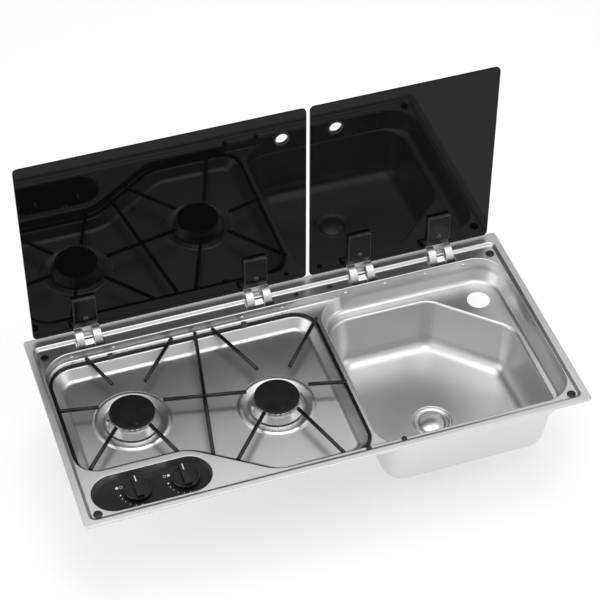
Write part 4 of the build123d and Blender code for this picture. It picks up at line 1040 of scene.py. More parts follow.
@dataclass
class SteelDeck:
    """Rim, step, ledge, hob hollow, control recess, tub and bowl, pressed and welded into one skin."""

    builder: MeshBuilder = field(default_factory=MeshBuilder)
    sheet: float = 1.0
    steps: int = 12
    between: int = 8

    # Width, depth and corner of the rim; half width, front, back and corner of the step inside it.
    rim: tuple[float, float, float] = (900.0, 445.0, 7.0)
    lip: float = 4.0
    rim_bend: float = 1.5
    rim_strip: float = 4.0
    step: tuple[float, float, float, float] = (437.5, -210.0, 200.0, 12.0)
    step_strip: float = 3.0
    step_run: float = 5.0
    step_bend: float = 1.6
    foot_bend: float = 0.45
    foot_gain: float = 1.3

    # Widest bend at the basin's edge, and the share of the ledge it may take.
    basin_bend: tuple[float, float] = (2.2, 0.45)
    basin_radius: float = 54.0
    contour_gap: float = 9.0

    # Half width, half depth and corner of the control recess, its bends and how far its wall leans.
    recess: tuple[float, float, float] = (103.5, 39.5, 39.49)
    recess_bends: tuple[float, float] = (0.8, 2.0)
    recess_run: float = 3.0
    recess_strip: float = 4.0

    # How far the hollow's mouth, edge, foot and floor lie inside the rail's centre line.
    hollow: tuple[float, float, float, float] = (0.6, 3.0, 19.0, 24.5)
    hollow_bends: tuple[float, float] = (2.4, 5.5)
    burner_hole: float = 52.0
    shelf_land: float = 4.2
    shelf_share: float = 0.45
    shelf_brow: float = 4.0

    # Left, right, front and back of the tub's floor; tub_foot is the widest bend and its share of the shelf.
    tub_left: float = 78.0
    tub_floor: tuple[float, float, float, float] = (82.0, 420.0, -195.0, 159.0)
    tub_corner: float = 50.0
    tub_kink: float = 9.0
    tub_foot: tuple[float, float] = (7.0, 0.42)
    tap_hole: tuple[float, float, float] = (376.0, 111.0, 21.0)

    bowl: Profile = ((408.0, -192.5), (408.0, 23.0), (287.0, 138.0), (84.0, 138.0), (84.0, -192.5))
    bowl_radius: float = 48.0
    bowl_lip: tuple[float, float] = (5.0, 0.5)
    bowl_draft: float = 13.0
    bowl_bend: float = 25.0
    waste_radius: float = 36.0
    waste_bends: tuple[float, float] = (1.2, 1.0)
    waste_insets: tuple[float, float, float] = (-1.4, 1.0, 9.0)

    # Half width, front, back and corner of the slots for the lid arms, and the levels they are cut between.
    slot: tuple[float, float, float, float] = (26.0, 176.0, 198.0, 3.0)
    slot_levels: tuple[float, float] = (-15.0, 6.0)

    @property
    def _corner(self) -> int:
        """Number of points in each rounded corner of the tub."""
        return self.steps + 1

    @property
    def _joint(self) -> int:
        """Number of the tub's point at the back where its wall leaves the basin's."""
        return 2 * self._corner + 3 * self.between

    @property
    def _sink(self) -> list[int]:
        """Numbers of the tub's points on the basin's own wall, from its front to its back."""
        return [4 * (self._corner + self.between) - 1, *range(self._joint + 1)]

    def _control(self) -> Chain:
        """Stadium of the control recess."""
        (x, y), (half, deep, radius) = LAYOUT.panel, self.recess
        return Chain.rectangle(x - half, x + half, y - deep, y + deep, radius, 14)

    def _tub_top(self) -> Chain:
        """Mouth of the tub; three of its sides are the basin's own wall."""
        return Chain.rectangle(self.tub_left, LAYOUT.basin_x, LAYOUT.basin_front, LAYOUT.basin_back,
                               self.basin_radius, self.steps, self.between)

    def _hob_wall(self, top: Chain) -> Chain:
        """Basin wall round the hob, from the tub's back corner to its front corner.

        Args:
            top: mouth of the tub.

        Returns:
            The open outline.
        """
        right, front, back = LAYOUT.basin_x, LAYOUT.basin_front, LAYOUT.basin_back
        notch_y = LAYOUT.rail_notch[1] - self.contour_gap
        radius, corner = self.basin_radius, self._corner
        front_bend, _, notch_bend = LAYOUT.rail_bends
        whole = Chain.rounded([
            (right, front, radius), (right, back, radius), (-right, back, radius),
            (-right, notch_y, front_bend + self.contour_gap),
            (LAYOUT.diagonal_x(notch_y, self.contour_gap), notch_y, notch_bend),
            (LAYOUT.diagonal_x(front, self.contour_gap), front, notch_bend),
        ], self.steps)
        start = Chain([Vector((p.x, back)) for p in top.points[self._joint:self._joint + corner]],
                      [Vector((0, -1))] * corner)
        end = Chain([Vector((p.x, front)) for p in top.points[-corner:]], [Vector((0, 1))] * corner)
        return start.joined(whole.part(range(2 * corner, 6 * corner))).joined(end)

    def _rim_and_ledge(self, basin: Chain, control: Chain) -> list[float]:
        """Rim with its lip, the step and the flat ledge.

        Args:
            basin: outline of the basin.
            control: outline of the control recess.

        Returns:
            The bend kept at the basin's edge, point by point.
        """
        build, ledge = self.builder, LAYOUT.ledge_z
        width, depth, radius = self.rim
        rim = Chain.rectangle(-width / 2, width / 2, -depth / 2, depth / 2, radius, 8)
        strip = rim.ring(self.rim_strip, 0)
        build.bridge(rounded_section([rim.ring(0, -self.lip), rim.ring(0, 0), strip], [self.rim_bend], 5))
        half, front, back, corner = self.step
        step = Chain.rectangle(-half, half, front, back, corner, 8, 4)
        build.fill(strip, [step.ring(-self.step_strip, 0)])
        foot = [self.foot_bend + self.foot_gain * abs(n.y) for n in step.normals]
        foot_line = step.ring(self.step_run, ledge)
        levels = [step.ring(-self.step_strip, 0), step.ring(0, 0), foot_line,
                  step.ring([self.step_run + f for f in foot], ledge)]
        build.bridge(rounded_section(levels, [self.step_bend, foot], 5))
        edge = bends_within(basin, foot_line, *self.basin_bend)
        build.fill(levels[-1], [outward_ring(basin, edge, ledge), control.ring(-self.recess_bends[0], ledge)])
        return edge

    def _control_recess(self, control: Chain) -> None:
        """Sunk dish under the control panel, with a hole for each spindle.

        Args:
            control: its outline.
        """
        build, ledge, floor, run = self.builder, LAYOUT.ledge_z, LAYOUT.recess_z, self.recess_run
        levels = [control.ring(-self.recess_bends[0], ledge), control.ring(0, ledge),
                  control.ring(run, floor), control.ring(run + self.recess_strip, floor)]
        build.bridge(rounded_section(levels, self.recess_bends, 4))
        build.fill(levels[-1], [Chain.circle(*knob, LAYOUT.spindle_hole, 24).ring(0, floor)
                                for knob in LAYOUT.knobs])

    def _hob_hollow(self) -> Ring:
        """Sloped hollow under the pan support.

        Returns:
            The ring at its mouth, for the shelf round it.
        """
        build, rail, shelf, floor = self.builder, LAYOUT.rail(), LAYOUT.shelf_z, LAYOUT.hob_floor_z
        levels = [rail.ring(inset, z) for inset, z in zip(self.hollow, (shelf, shelf, floor, floor))]
        build.bridge(rounded_section(levels, self.hollow_bends, 6))
        build.fill(levels[-1], [Chain.circle(*burner, self.burner_hole).ring(0, floor)
                                for burner in LAYOUT.burners])
        return levels[0]

    def _bowl(self, tub: Chain) -> list[float]:
        """Bowl with its waste recess, and the tap shelf round it.

        Args:
            tub: outline of the tub at the tap shelf.

        Returns:
            The bend kept at the foot of the tub's wall, point by point.
        """
        build, shelf, floor = self.builder, LAYOUT.tub_z, LAYOUT.bowl_floor_z
        bowl = Chain.rounded([(x, y, self.bowl_radius) for x, y in self.bowl], self.steps, self.between)
        foot = bends_within(tub, bowl.points, *self.tub_foot)
        lip = bends_within(bowl, tub.points, *self.bowl_lip)
        mouth = outward_ring(bowl, lip, shelf)
        build.fill(tub.ring(foot, shelf), [mouth, Chain.circle(*self.tap_hole).ring(0, shelf)])
        levels = [mouth, bowl.ring(0, shelf), bowl.ring(self.bowl_draft, floor),
                  bowl.ring(self.bowl_draft + self.bowl_bend, floor)]
        build.bridge(rounded_section(levels, [lip, self.bowl_bend], 10))
        recess = Chain.circle(*LAYOUT.waste, self.waste_radius, 96)
        strip, run, hole = self.waste_insets
        build.fill(levels[-1], [recess.ring(strip, floor)])
        levels = [recess.ring(strip, floor), recess.ring(0, floor), recess.ring(run, LAYOUT.waste_z),
                  recess.ring(hole, LAYOUT.waste_z)]
        build.bridge(rounded_section(levels, self.waste_bends, 4))
        return foot

    def _walls(self, top: Chain, low: Chain, hob_wall: Chain, basin_edge: list[float],
               foot: list[float], hollow: Ring) -> None:
        """Basin and tub walls, and the shelf that carries the pan support.

        Args:
            top: mouth of the tub.
            low: outline of the tub at the tap shelf.
            hob_wall: basin wall round the hob.
            basin_edge: bend at the ledge, for the sink's part and then the hob's part.
            foot: bend at the tub's foot, one for each point of low.
            hollow: mouth of the hob hollow.
        """
        build = self.builder
        ledge, shelf, tub = LAYOUT.ledge_z, LAYOUT.shelf_z, LAYOUT.tub_z
        sink, divider = self._sink, range(self._joint, len(top.points))
        sink_edge = basin_edge[:len(sink)]
        hob_edge = basin_edge[len(sink) - 1:] + [basin_edge[0]]

        upper, lower, bend = top.part(sink), low.part(sink), [foot[i] for i in sink]
        kink = [0.0, *[self.tub_kink] * (len(sink) - 2), 0.0]
        levels = [outward_ring(upper, sink_edge, ledge), upper.ring(0, ledge), upper.ring(0, shelf),
                  lower.ring(0, tub), lower.ring(bend, tub)]
        build.bridge(rounded_section(levels, [sink_edge, kink, bend], 6), closed=False)

        land = [self.shelf_land] * len(hob_wall.points)
        brow = [self.shelf_brow] * len(divider)
        for offset in range(self._corner):
            width = LAYOUT.basin_back - top.points[self._joint + offset].y
            land[offset] = land[-1 - offset] = min(self.shelf_land, self.shelf_share * width)
            brow[offset] = brow[-1 - offset] = min(self.shelf_brow, land[offset])
        levels = [outward_ring(hob_wall, hob_edge, ledge), hob_wall.ring(0, ledge), hob_wall.ring(0, shelf),
                  hob_wall.ring(land, shelf)]
        build.bridge(rounded_section(levels, [hob_edge, land], 6), closed=False)
        shelf_edge = levels[-1]

        upper, lower, bend = top.part(divider), low.part(divider), [foot[i] for i in divider]
        levels = [outward_ring(upper, brow, shelf), upper.ring(0, shelf), lower.ring(0, tub),
                  lower.ring(bend, tub)]
        build.bridge(rounded_section(levels, [brow, bend], 6), closed=False)
        build.fill(shelf_edge + levels[0][-2:0:-1], [hollow])

    def _slots(self) -> bpy.types.Object:
        """Cutters for the slots through which the lid arms pass.

        Returns:
            All of them as one object.
        """
        half, front, back, corner = self.slot
        flat = half - corner
        outline = [(half, front + corner), (half, back - corner), (flat, back), (-flat, back),
                   (-half, back - corner), (-half, front + corner), (-flat, front), (flat, front)]
        return joined("slot_cutters", [extruded(f"slot_cutter_{number}", [(x + a, b) for a, b in outline],
                                                *self.slot_levels) for number, x in enumerate(LAYOUT.hinges)])

    def build(self) -> None:
        """Build the whole skin, thicken, slot and dress it."""
        top, control = self._tub_top(), self._control()
        low = Chain.rectangle(*self.tub_floor, self.tub_corner, self.steps, self.between)
        hob_wall = self._hob_wall(top)
        basin = top.part(self._sink).joined(hob_wall.part(range(1, len(hob_wall.points) - 1)))
        edge = self._rim_and_ledge(basin, control)
        self._control_recess(control)
        hollow = self._hob_hollow()
        foot = self._bowl(low)
        self._walls(top, low, hob_wall, edge, foot, hollow)
        skin = self.builder.build("deck_and_bowl")
        modify(skin, "SOLIDIFY", thickness=self.sheet * MM, offset=-1, use_even_offset=True)
        combine(skin, self._slots())
        shade(skin, 38.0)
        stand_in(dress(skin, Finishes.STEEL), "root", "steel", "deck_pressing", "sink_bowl")


# ---------------------------------------------------------------- pan support

@dataclass
class PanSupport:
    """Wire rail in the hob hollow with the fingers and bars welded on top of it, and its two clips."""

    wire: float = 3.3
    bar: float = 3.5
    rail_z: float = -20.7
    bar_z: float = -15.3
    bars: tuple[tuple[tuple[float, float], tuple[float, float]], ...] = (
        ((-351.0, 162.5), (-323.0, 87.0)), ((-194.0, 162.5), (-267.0, 76.0)),
        ((-427.5, 55.0), (-359.0, 42.0)), ((-408.5, -90.0), (-343.0, -13.0)),
        ((-258.0, -98.5), (-286.0, -24.0)), ((-119.0, 162.5), (-72.0, 41.0)),
        ((66.5, 128.0), (-17.0, 29.0)), ((66.5, -37.0), (1.0, -21.0)),
        ((-166.9, -148.0), (-92.0, -60.0)), ((9.0, -191.5), (-34.0, -69.0)),
        ((-151.0, 162.5), (-202.7, -123.0)), ((-249.0, 24.0), (-107.0, -4.0)),
    )
    bead_gap: float = 2.6
    bead: Profile = ((0.0, -1.3), (1.2, -1.0), (1.9, -0.2), (1.8, 0.5), (1.1, 1.1), (0.0, 1.3))
    clip_xs: tuple[float, float] = (-308.0, -60.0)
    clip_width: float = 9.0
    clip_front: float = 152.5
    clip_back: float = 163.1
    clip_top: float = -15.4
    clip_throat: float = 3.5

    def _welds(self, rail: list[Vector]) -> list[bpy.types.Object]:
        """Small beads where a bar crosses the rail.

        Args:
            rail: centre line of the rail.

        Returns:
            Two beads for each crossing.
        """
        beads = []
        level = (self.rail_z + self.bar_z) / 2
        for start, end in self.bars:
            for a, b in zip(rail, [*rail[1:], rail[0]]):
                here = crossing(Vector(start), Vector(end), a.to_2d(), b.to_2d())
                if here is None:
                    continue
                along = (b - a).normalized() * self.bead_gap
                for side in (-1, 1):
                    bead = turned("bead", self.bead, 12, closed=False)
                    beads.append(place(bead, shift(here.x + side * along.x, here.y + side * along.y, level)))
        return beads

    def _support(self) -> bpy.types.Object:
        """Rail, bars and welds as one piece.

        Returns:
            The dressed piece.
        """
        rail = LAYOUT.rail(14, 5).ring(0, self.rail_z)
        wires = [rod("rail", rail, self.wire, closed=True)]
        wires += [rod("bar", [Vector((*end, self.bar_z)) for end in ends], self.bar) for ends in self.bars]
        whole = joined("pan_support_wires", wires + self._welds(rail))
        shade(whole, 50.0, weighted=False)
        return dress(whole, Finishes.WIRE)

    def _clips(self) -> bpy.types.Object:
        """Moulded hooks over the back rail.

        Returns:
            The dressed hooks.
        """
        front, back, top, foot = self.clip_front, self.clip_back, self.clip_top, LAYOUT.shelf_z
        rail_y, throat, bend = LAYOUT.rail_back, self.clip_throat, 2.0
        outline = [(back, foot), *arc((back - bend, top - bend), bend, 0, 90, 5),
                   *arc((front + bend, top - bend), bend, 90, 180, 5), (front, self.rail_z),
                   (rail_y - throat, self.rail_z), *arc((rail_y, self.rail_z), throat, 170, 10, 10),
                   (rail_y + throat, self.rail_z), (back - 2.8, foot)]
        half = self.clip_width / 2
        clip = place(extruded("clip", outline, -half, half), ALONG_X)
        soften(clip, 0.4, 2)
        clips = joined("clips", [clip], [shift(x, 0, 0) for x in self.clip_xs])
        shade(clips, 45.0)
        return dress(clips, Finishes.MOULDING)

    def build(self) -> None:
        """Build, dress and seat the pan support and its clips."""
        stand_in(self._support(), "root", "black_enamel", "pan_support")
        stand_in(self._clips(), "root", "black_moulding", "pan_support_clips")


# ---------------------------------------------------------------- burners

@dataclass
class Burner:
    """One burner as it shows above the hob floor: cap, crown, trim ring and thermocouple."""

    number: int

    # Sizes of the cap; its flat underside starts further in than the bend of its lower edge.
    cap_radius: float = 40.0
    cap_bottom: float = -23.5
    cap_top: float = -17.0
    cap_insets: tuple[float, float, float] = (9.0, 4.2, 3.2)
    cap_chamfer: float = 2.8
    cap_bends: tuple[float, float, float] = (0.5, 0.8, 1.9)
    dent_offset: float = 33.2
    dent_radius: float = 3.9
    dent_depth: float = 1.4
    dent_lip: float = 0.4
    dent_roll: tuple[float, float] = (0.1, 0.05)
    dent_shares: tuple[float, ...] = (0.2, 0.45, 0.7, 0.9, 0.99)

    crown: Profile = (
        (30.0, -36.5), (34.0, -36.5), (34.0, -29.0), (37.0, -29.0), (46.0, -40.5), (48.0, -40.5),
        (48.0, -40.0), (40.9, -29.9), (41.2, -29.3), (40.6, -28.8), (39.9, -28.7), (39.8, -27.9),
        (39.2, -27.3), (38.4, -27.2), (37.2, -27.2), (37.0, -27.0), (37.0, -23.5), (30.0, -23.5))
    crown_bend: float = 0.16
    ports: int = 24
    port: Profile = ((28.0, -1.2), (39.5, -1.2), (39.5, 1.2), (28.0, 1.2))
    port_levels: tuple[float, float] = (-26.5, -20.0)
    trim: Profile = (
        (70.0, -42.0), (69.4, -41.0), (66.0, -39.0), (62.0, -39.0), (52.0, -41.0), (49.5, -42.2),
        (49.5, -42.7), (51.0, -42.0))
    trim_bends: tuple[float, ...] = (0.3, 0.5, 1.0, 0.6, 0.8, 0.2, 0.2, 0.2)
    pin_offset: float = -43.5
    pin_hole: float = 3.7
    pin_levels: tuple[float, float] = (-50.0, -25.0)
    sleeve: Profile = ((0.0, -60.0), (2.7, -60.0), (2.7, -28.2), (2.4, -27.7), (0.0, -27.7))
    tip: Profile = ((0.0, -27.8), (2.2, -27.8), (2.2, -26.9), (1.9, -26.3), (1.2, -26.05), (0.0, -26.0))

    def _seat(self) -> Matrix:
        """Place of the burner's axis."""
        return shift(*LAYOUT.burners[self.number - 1], 0)

    def _cap(self) -> bpy.types.Object:
        """Enamelled disc with a rounded edge and two dents in its top.

        Returns:
            The dressed cap.
        """
        builder, low, high = MeshBuilder(), self.cap_bottom, self.cap_top
        flat, edge, brow = self.cap_insets
        rim = Chain.circle(0, 0, self.cap_radius, 96)
        levels = [rim.ring(flat, low), rim.ring(edge, low), rim.ring(0, low + self.cap_chamfer),
                  rim.ring(0, high), rim.ring(brow, high)]
        builder.bridge(rounded_section(levels, self.cap_bends, 6))
        builder.fill(rim.ring(flat, low), flip=True)
        dents = [Chain.circle(0, side * self.dent_offset, self.dent_radius, 24) for side in (-1, 1)]
        builder.fill(rim.ring(brow, high), [dent.ring(-self.dent_lip, high) for dent in dents])
        for dent in dents:
            rings = [dent.ring(-self.dent_lip, high), dent.ring(-self.dent_roll[0], high - self.dent_roll[1])]
            rings += [dent.ring(self.dent_radius * share, high - self.dent_depth * (1 - (1 - share) ** 2))
                      for share in self.dent_shares]
            builder.bridge(rings)
            builder.fill(rings[-1])
        cap = place(builder.build(f"cap_{self.number}"), self._seat())
        shade(cap, 55.0)
        return dress(cap, Finishes.ENAMEL)

    def _crown(self) -> bpy.types.Object:
        """Flame crown with its ports, two fine beads and the conical skirt.

        Returns:
            The dressed crown.
        """
        profile = bent_profile(self.crown, [self.crown_bend] * len(self.crown), 3)
        crown = turned(f"crown_{self.number}", profile, 128)
        turns = [Matrix.Rotation(2 * math.pi * (number + 0.5) / self.ports, 4, "Z")
                 for number in range(self.ports)]
        combine(crown, joined("port_cutters", [extruded("port", self.port, *self.port_levels)], turns))
        hole = Chain.circle(self.pin_offset, 0, self.pin_hole, 24)
        combine(crown, extruded("pin_hole", hole.points, *self.pin_levels))
        shade(place(crown, self._seat()), 40.0)
        return dress(crown, Finishes.CROWN)

    def _trim(self) -> bpy.types.Object:
        """Polished ring that closes the hole in the hob floor.

        Returns:
            The dressed ring.
        """
        trim = turned(f"trim_{self.number}", bent_profile(self.trim, self.trim_bends, 5), 160)
        shade(place(trim, self._seat()), 60.0)
        return dress(trim, Finishes.BRIGHT_STEEL)

    def _pin(self) -> tuple[bpy.types.Object, bpy.types.Object]:
        """Thermocouple with a bright sleeve, its pale colour partly a painted highlight, and a dark tip.

        Returns:
            The dressed sleeve and the dressed tip.
        """
        where = self._seat() @ shift(self.pin_offset, 0, 0)
        sleeve = turned(f"thermocouple_sleeve_{self.number}", self.sleeve, 24, closed=False)
        tip = turned(f"thermocouple_tip_{self.number}", self.tip, 24, closed=False)
        for piece in (sleeve, tip):
            shade(place(piece, where), 40.0, weighted=False)
        return dress(sleeve, Finishes.PALE_CERAMIC_AND_HIGHLIGHT), dress(tip, Finishes.SCREW_STEEL)

    def build(self) -> None:
        """Build, dress and seat every piece of the burner."""
        number = self.number
        stand_in(self._cap(), "root", "black_enamel", f"burner_cap_{number}")
        stand_in(self._crown(), "root", "burner_alloy", f"burner_crown_{number}")
        stand_in(self._trim(), "root", "bright_steel", f"burner_trim_{number}")
        sleeve, tip = self._pin()
        stand_in(sleeve, "root", "bright_steel", f"thermocouple_{number}")
        stand_in(tip, "root", "black_enamel")
        dress_node(f"burner_body_{number}", Finishes.ALLOY)


# ---------------------------------------------------------------- controls

@dataclass
class Controls:
    """Panel on the floor of the control recess, its printed marks and the two knobs."""

    # Half width, half depth and corner of the panel.
    panel: tuple[float, float, float] = (100.2, 36.2, 36.19)
    panel_edge: float = 0.7
    top: float = -20.0
    mark_levels: tuple[float, float] = (-0.05, 0.08)
    dot_radius: float = 30.0
    dot_angles: tuple[float, ...] = (180.0, 196.0, 212.0, 230.0, 250.0, 270.0)
    dot_sizes: tuple[float, ...] = (1.5, 0.9, 0.7, 0.7, 0.8, 1.2)

    # Place of the first square beside a knob, and how far apart the two are; outer and inner half width.
    squares: tuple[float, float] = (-32.0, 17.0)
    square_step: float = 7.0
    square_halves: tuple[float, float] = (2.4, 1.8)
    square_corners: Profile = ((-1, -1), (1, -1), (1, 1), (-1, 1))

    knob_foot: float = -16.2
    knob_radius: float = 24.0
    knob_height: float = 12.6
    knob_bore: float = 4.0
    skirt: float = 5.0
    skirt_bends: tuple[float, ...] = (0.1, 0.4, 0.35, 0.35, 0.3, 0.5, 0.1)

    # Bevel of the skirt, and how far inside its edge the rim on its top ends and the dish begins.
    skirt_bevel: float = 1.2
    skirt_rim: tuple[float, float] = (3.0, 3.4)
    dish: float = 1.0
    grip_width: float = 11.5
    grip_inset: float = 1.0
    grip_sink: float = 1.0
    line: Profile = ((-0.9, 8.0), (0.9, 8.0), (0.9, 21.2), (-0.9, 21.2))
    line_levels: tuple[float, float] = (-0.3, 0.06)

    def _panel(self) -> bpy.types.Object:
        """Black plate with a hole for each spindle.

        Returns:
            The dressed plate.
        """
        (x, y), (half, deep, radius) = LAYOUT.panel, self.panel
        outline = Chain.rectangle(x - half, x + half, y - deep, y + deep, radius, 18)
        holes = [Chain.circle(*knob, LAYOUT.spindle_hole, 32) for knob in LAYOUT.knobs]
        panel = slab("panel_plate", outline, holes, LAYOUT.recess_z, self.top, self.panel_edge)
        shade(panel, 40.0)
        return dress(panel, Finishes.PANEL)

    def _marks(self) -> bpy.types.Object:
        """Printed dots round each knob and the pair of squares that tells which burner it serves.

        Returns:
            The dressed marks, all in one piece.
        """
        low, high = [self.top + level for level in self.mark_levels]
        marks = []
        for number, (x, y) in enumerate(LAYOUT.knobs):
            for angle, size in zip(self.dot_angles, self.dot_sizes):
                across, deep = [self.dot_radius * turn(math.radians(angle)) for turn in (math.cos, math.sin)]
                marks.append(extruded("dot", Chain.circle(x + across, y + deep, size, 20).points, low, high))
            for in_pair in (0, 1):
                middle = Vector((x + self.squares[0] + self.square_step * in_pair, y + self.squares[1]))
                outer, inner = [[middle + Vector(corner) * half for corner in self.square_corners]
                                for half in self.square_halves]
                holes = [] if in_pair == number else [Chain(inner, [Vector((0, 0))] * 4)]
                marks.append(extruded("square", outer, low, high, holes))
        whole = joined("panel_marks", marks)
        shade(whole, 40.0, weighted=False)
        return dress(whole, Finishes.MARKING)

    def _knob(self, number: int) -> tuple[bpy.types.Object, bpy.types.Object]:
        """One knob and the white line on its grip.

        Args:
            number: 1 for the left knob, 2 for the right one.

        Returns:
            The knob and the line.
        """
        seat = shift(*LAYOUT.knobs[number - 1], self.knob_foot)
        bore, outer, top = self.knob_bore, self.knob_radius, self.knob_height
        brow, dish, bevel = self.skirt, self.skirt - self.dish, self.skirt_bevel
        profile = [(bore, 0.0), (outer, 0.0), (outer, brow - bevel), (outer - bevel, brow),
                   (outer - self.skirt_rim[0], brow), (outer - self.skirt_rim[1], dish), (bore, dish)]
        skirt = turned("skirt", bent_profile(profile, self.skirt_bends, 3), 96)
        reach = outer - self.grip_inset
        end = math.degrees(math.asin(self.grip_width / 2 / reach))
        outline = arc((0, 0), reach, -90 - end, -90 + end, 8) + arc((0, 0), reach, 90 - end, 90 + end, 8)
        grip = extruded("grip", outline, dish - self.grip_sink, top)
        soften(grip, 1.0, 3, 35.0)
        knob = joined(f"knob_shell_{number}", [skirt, grip])
        shade(place(knob, seat), 40.0)
        mark = extruded(f"knob_line_{number}", self.line, *[top + level for level in self.line_levels])
        shade(place(mark, seat), 40.0, weighted=False)
        return dress(knob, Finishes.KNOB), dress(mark, Finishes.MARKING)

    def build(self) -> None:
        """Build, dress and seat the panel and the knobs."""
        stand_in(self._panel(), "root", "panel_plastic", "control_panel")
        stand_in(self._marks(), "root", "panel_plastic")
        for number in (1, 2):
            knob, mark = self._knob(number)
            stand_in(knob, f"knob_{number}", "knob_plastic", f"knob_{number}")
            stand_in(mark, f"knob_{number}", "knob_plastic")
            dress_node(f"spindle_{number}", Finishes.DARK_STEEL_AND_SLOT_SHADE)
            dress_node(f"valve_plunger_{number}", Finishes.BRASS)
            dress_node(f"gas_valve_{number}", Finishes.BRASS)


# ---------------------------------------------------------------- glass lids

@dataclass
class Lid:
    """One glass lid with its finger ring, clamps, clamp plates and screws."""

    side: str
    left: float
    right: float
    finger_x: float
    hinges: tuple[int, ...]
    top: float = 401.0
    corner: float = 9.0
    glass_edge: float = 0.8
    finger_z: float = 346.0
    finger_radius: float = 12.5

    # Wall, width of the flange and its height above the glass.
    eyelet: tuple[float, float, float] = (1.6, 2.0, 1.0)
    eyelet_bends: tuple[float, ...] = (0.7, 0.7, 0.1, 0.1, 0.1, 0.1, 0.7, 0.7)
    screw_z: float = 38.0
    glass_hole: float = 2.8
    plate_hole: float = 2.5
    plate_thickness: float = 1.5
    plate_corner: float = 3.0
    plate_edge: float = 0.35
    clamp_width: float = 42.0
    clamp_foot: float = 12.5
    block_foot: float = 26.0
    block_lap: float = 1.0
    clamp_head: float = 84.0
    clamp_depth: float = 7.5
    toe_depth: float = 2.4

    # Cutter that sinks the clamp's face, as depth from the glass and level, and the border it leaves.
    face: Profile = ((6.9, 29.0), (6.9, 81.5), (9.0, 82.4), (9.0, 28.1))
    face_border: float = 2.6
    screw_head: Profile = ((2.5, 0.0), (4.5, 0.0), (4.4, 0.2), (3.8, 0.65), (2.8, 0.98), (1.5, 1.16),
                           (0.0, 1.2))
    screw_shank: float = 2.5
    screw_recess: tuple[float, float, float, float] = (2.2, 0.55, 0.5, 1.6)
    nut_radius: float = 4.5
    nut_height: float = 1.8
    shank_reach: float = 1.7

    def _hinge_xs(self) -> list[float]:
        """Places of this lid's hinges."""
        return [LAYOUT.hinges[number - 1] for number in self.hinges]

    def _glass(self) -> bpy.types.Object:
        """Toughened panel with ground edges and its holes.

        Returns:
            The dressed panel.
        """
        outline = Chain.rectangle(self.left, self.right, LAYOUT.glass_foot, self.top, self.corner, 10)
        holes = [Chain.circle(self.finger_x, self.finger_z, self.finger_radius, 48)]
        holes += [Chain.circle(x, self.screw_z, self.glass_hole, 20) for x in self._hinge_xs()]
        glass = slab(f"{self.side}_glass_panel", outline, holes, -LAYOUT.glass_back, -LAYOUT.glass_front,
                     self.glass_edge)
        shade(place(glass, ALONG_Y), 40.0)
        return dress(glass, Finishes.GLASS)

    def _finger_ring(self) -> bpy.types.Object:
        """Moulded eyelet, flanged on both faces of the glass.

        Returns:
            The dressed eyelet.
        """
        r, half = self.finger_radius, (LAYOUT.glass_back - LAYOUT.glass_front) / 2
        wall, width, proud = self.eyelet
        bore, flange, face = r - wall, r + width, half + proud
        profile = [(bore, -face), (flange, -face), (flange, -half), (r, -half), (r, half), (flange, half),
                   (flange, face), (bore, face)]
        eyelet = turned(f"{self.side}_eyelet", bent_profile(profile, self.eyelet_bends, 4), 64)
        place(eyelet, shift(self.finger_x, LAYOUT.glass_front + half, self.finger_z) @ ALONG_Y)
        shade(eyelet, 40.0)
        return dress(eyelet, Finishes.MOULDING)

    def _clamp(self, number: int) -> bpy.types.Object:
        """Moulded block on the inner face, with a thin toe above the channel.

        Args:
            number: number of its hinge.

        Returns:
            The dressed clamp.
        """
        half, front, lap = self.clamp_width / 2, LAYOUT.glass_front, self.block_foot + self.block_lap
        foot, low, head = self.clamp_foot, self.block_foot, self.clamp_head
        deep, thin = front - self.clamp_depth, front - self.toe_depth
        block = extruded("block", [(front, low), (front, head), (deep, head), (deep, low)], -half, half)
        soften(block, 1.3)
        border = half - self.face_border
        combine(block, extruded("face", [(front - depth, z) for depth, z in self.face], -border, border))
        toe = extruded("toe", [(front, foot), (front, lap), (thin, lap), (thin, foot)], -half, half)
        soften(toe, 0.4, 2)
        clamp = joined(f"clamp_block_{number}", [block, toe])
        place(clamp, shift(LAYOUT.hinges[number - 1], 0, 0) @ ALONG_X)
        shade(clamp, 40.0)
        return dress(clamp, Finishes.MOULDING)

    def _plates(self) -> bpy.types.Object:
        """Pressure plates on the outer face.

        Returns:
            The dressed plates, all in one piece.
        """
        half, back = self.clamp_width / 2, LAYOUT.glass_back
        outline = Chain.rectangle(-half, half, self.clamp_foot, self.clamp_head, self.plate_corner, 6)
        hole = Chain.circle(0, self.screw_z, self.plate_hole, 20)
        plate = slab("plate", outline, [hole], -back - self.plate_thickness, -back, self.plate_edge)
        plates = joined(f"{self.side}_plates", [plate], [shift(x, 0, 0) @ ALONG_Y for x in self._hinge_xs()])
        shade(plates, 40.0)
        return dress(plates, Finishes.MOULDING)

    def _screws(self) -> bpy.types.Object:
        """Low domed screws through the clamps, with a cross recess and a nut behind.

        Returns:
            The dressed screws, all in one piece.
        """
        head_y = LAYOUT.glass_front - self.clamp_depth
        nut_top = head_y - LAYOUT.glass_back - self.plate_thickness
        end = nut_top - self.shank_reach
        profile = [(0.0, end), (self.screw_shank, end), *self.screw_head]
        screw = outward(turned("screw", profile, 32, closed=False))
        combine(screw, cross_recess(*self.screw_recess))
        hexagon = Chain.circle(0, 0, self.nut_radius, 6)
        nut = extruded("nut", hexagon.points, nut_top - self.nut_height, nut_top)
        soften(nut, 0.35, 2)
        screws = joined(f"{self.side}_screws", [screw, nut],
                        [shift(x, head_y, self.screw_z) @ ALONG_Y for x in self._hinge_xs()])
        shade(screws, 40.0)
        return dress(screws, Finishes.SCREW_STEEL)

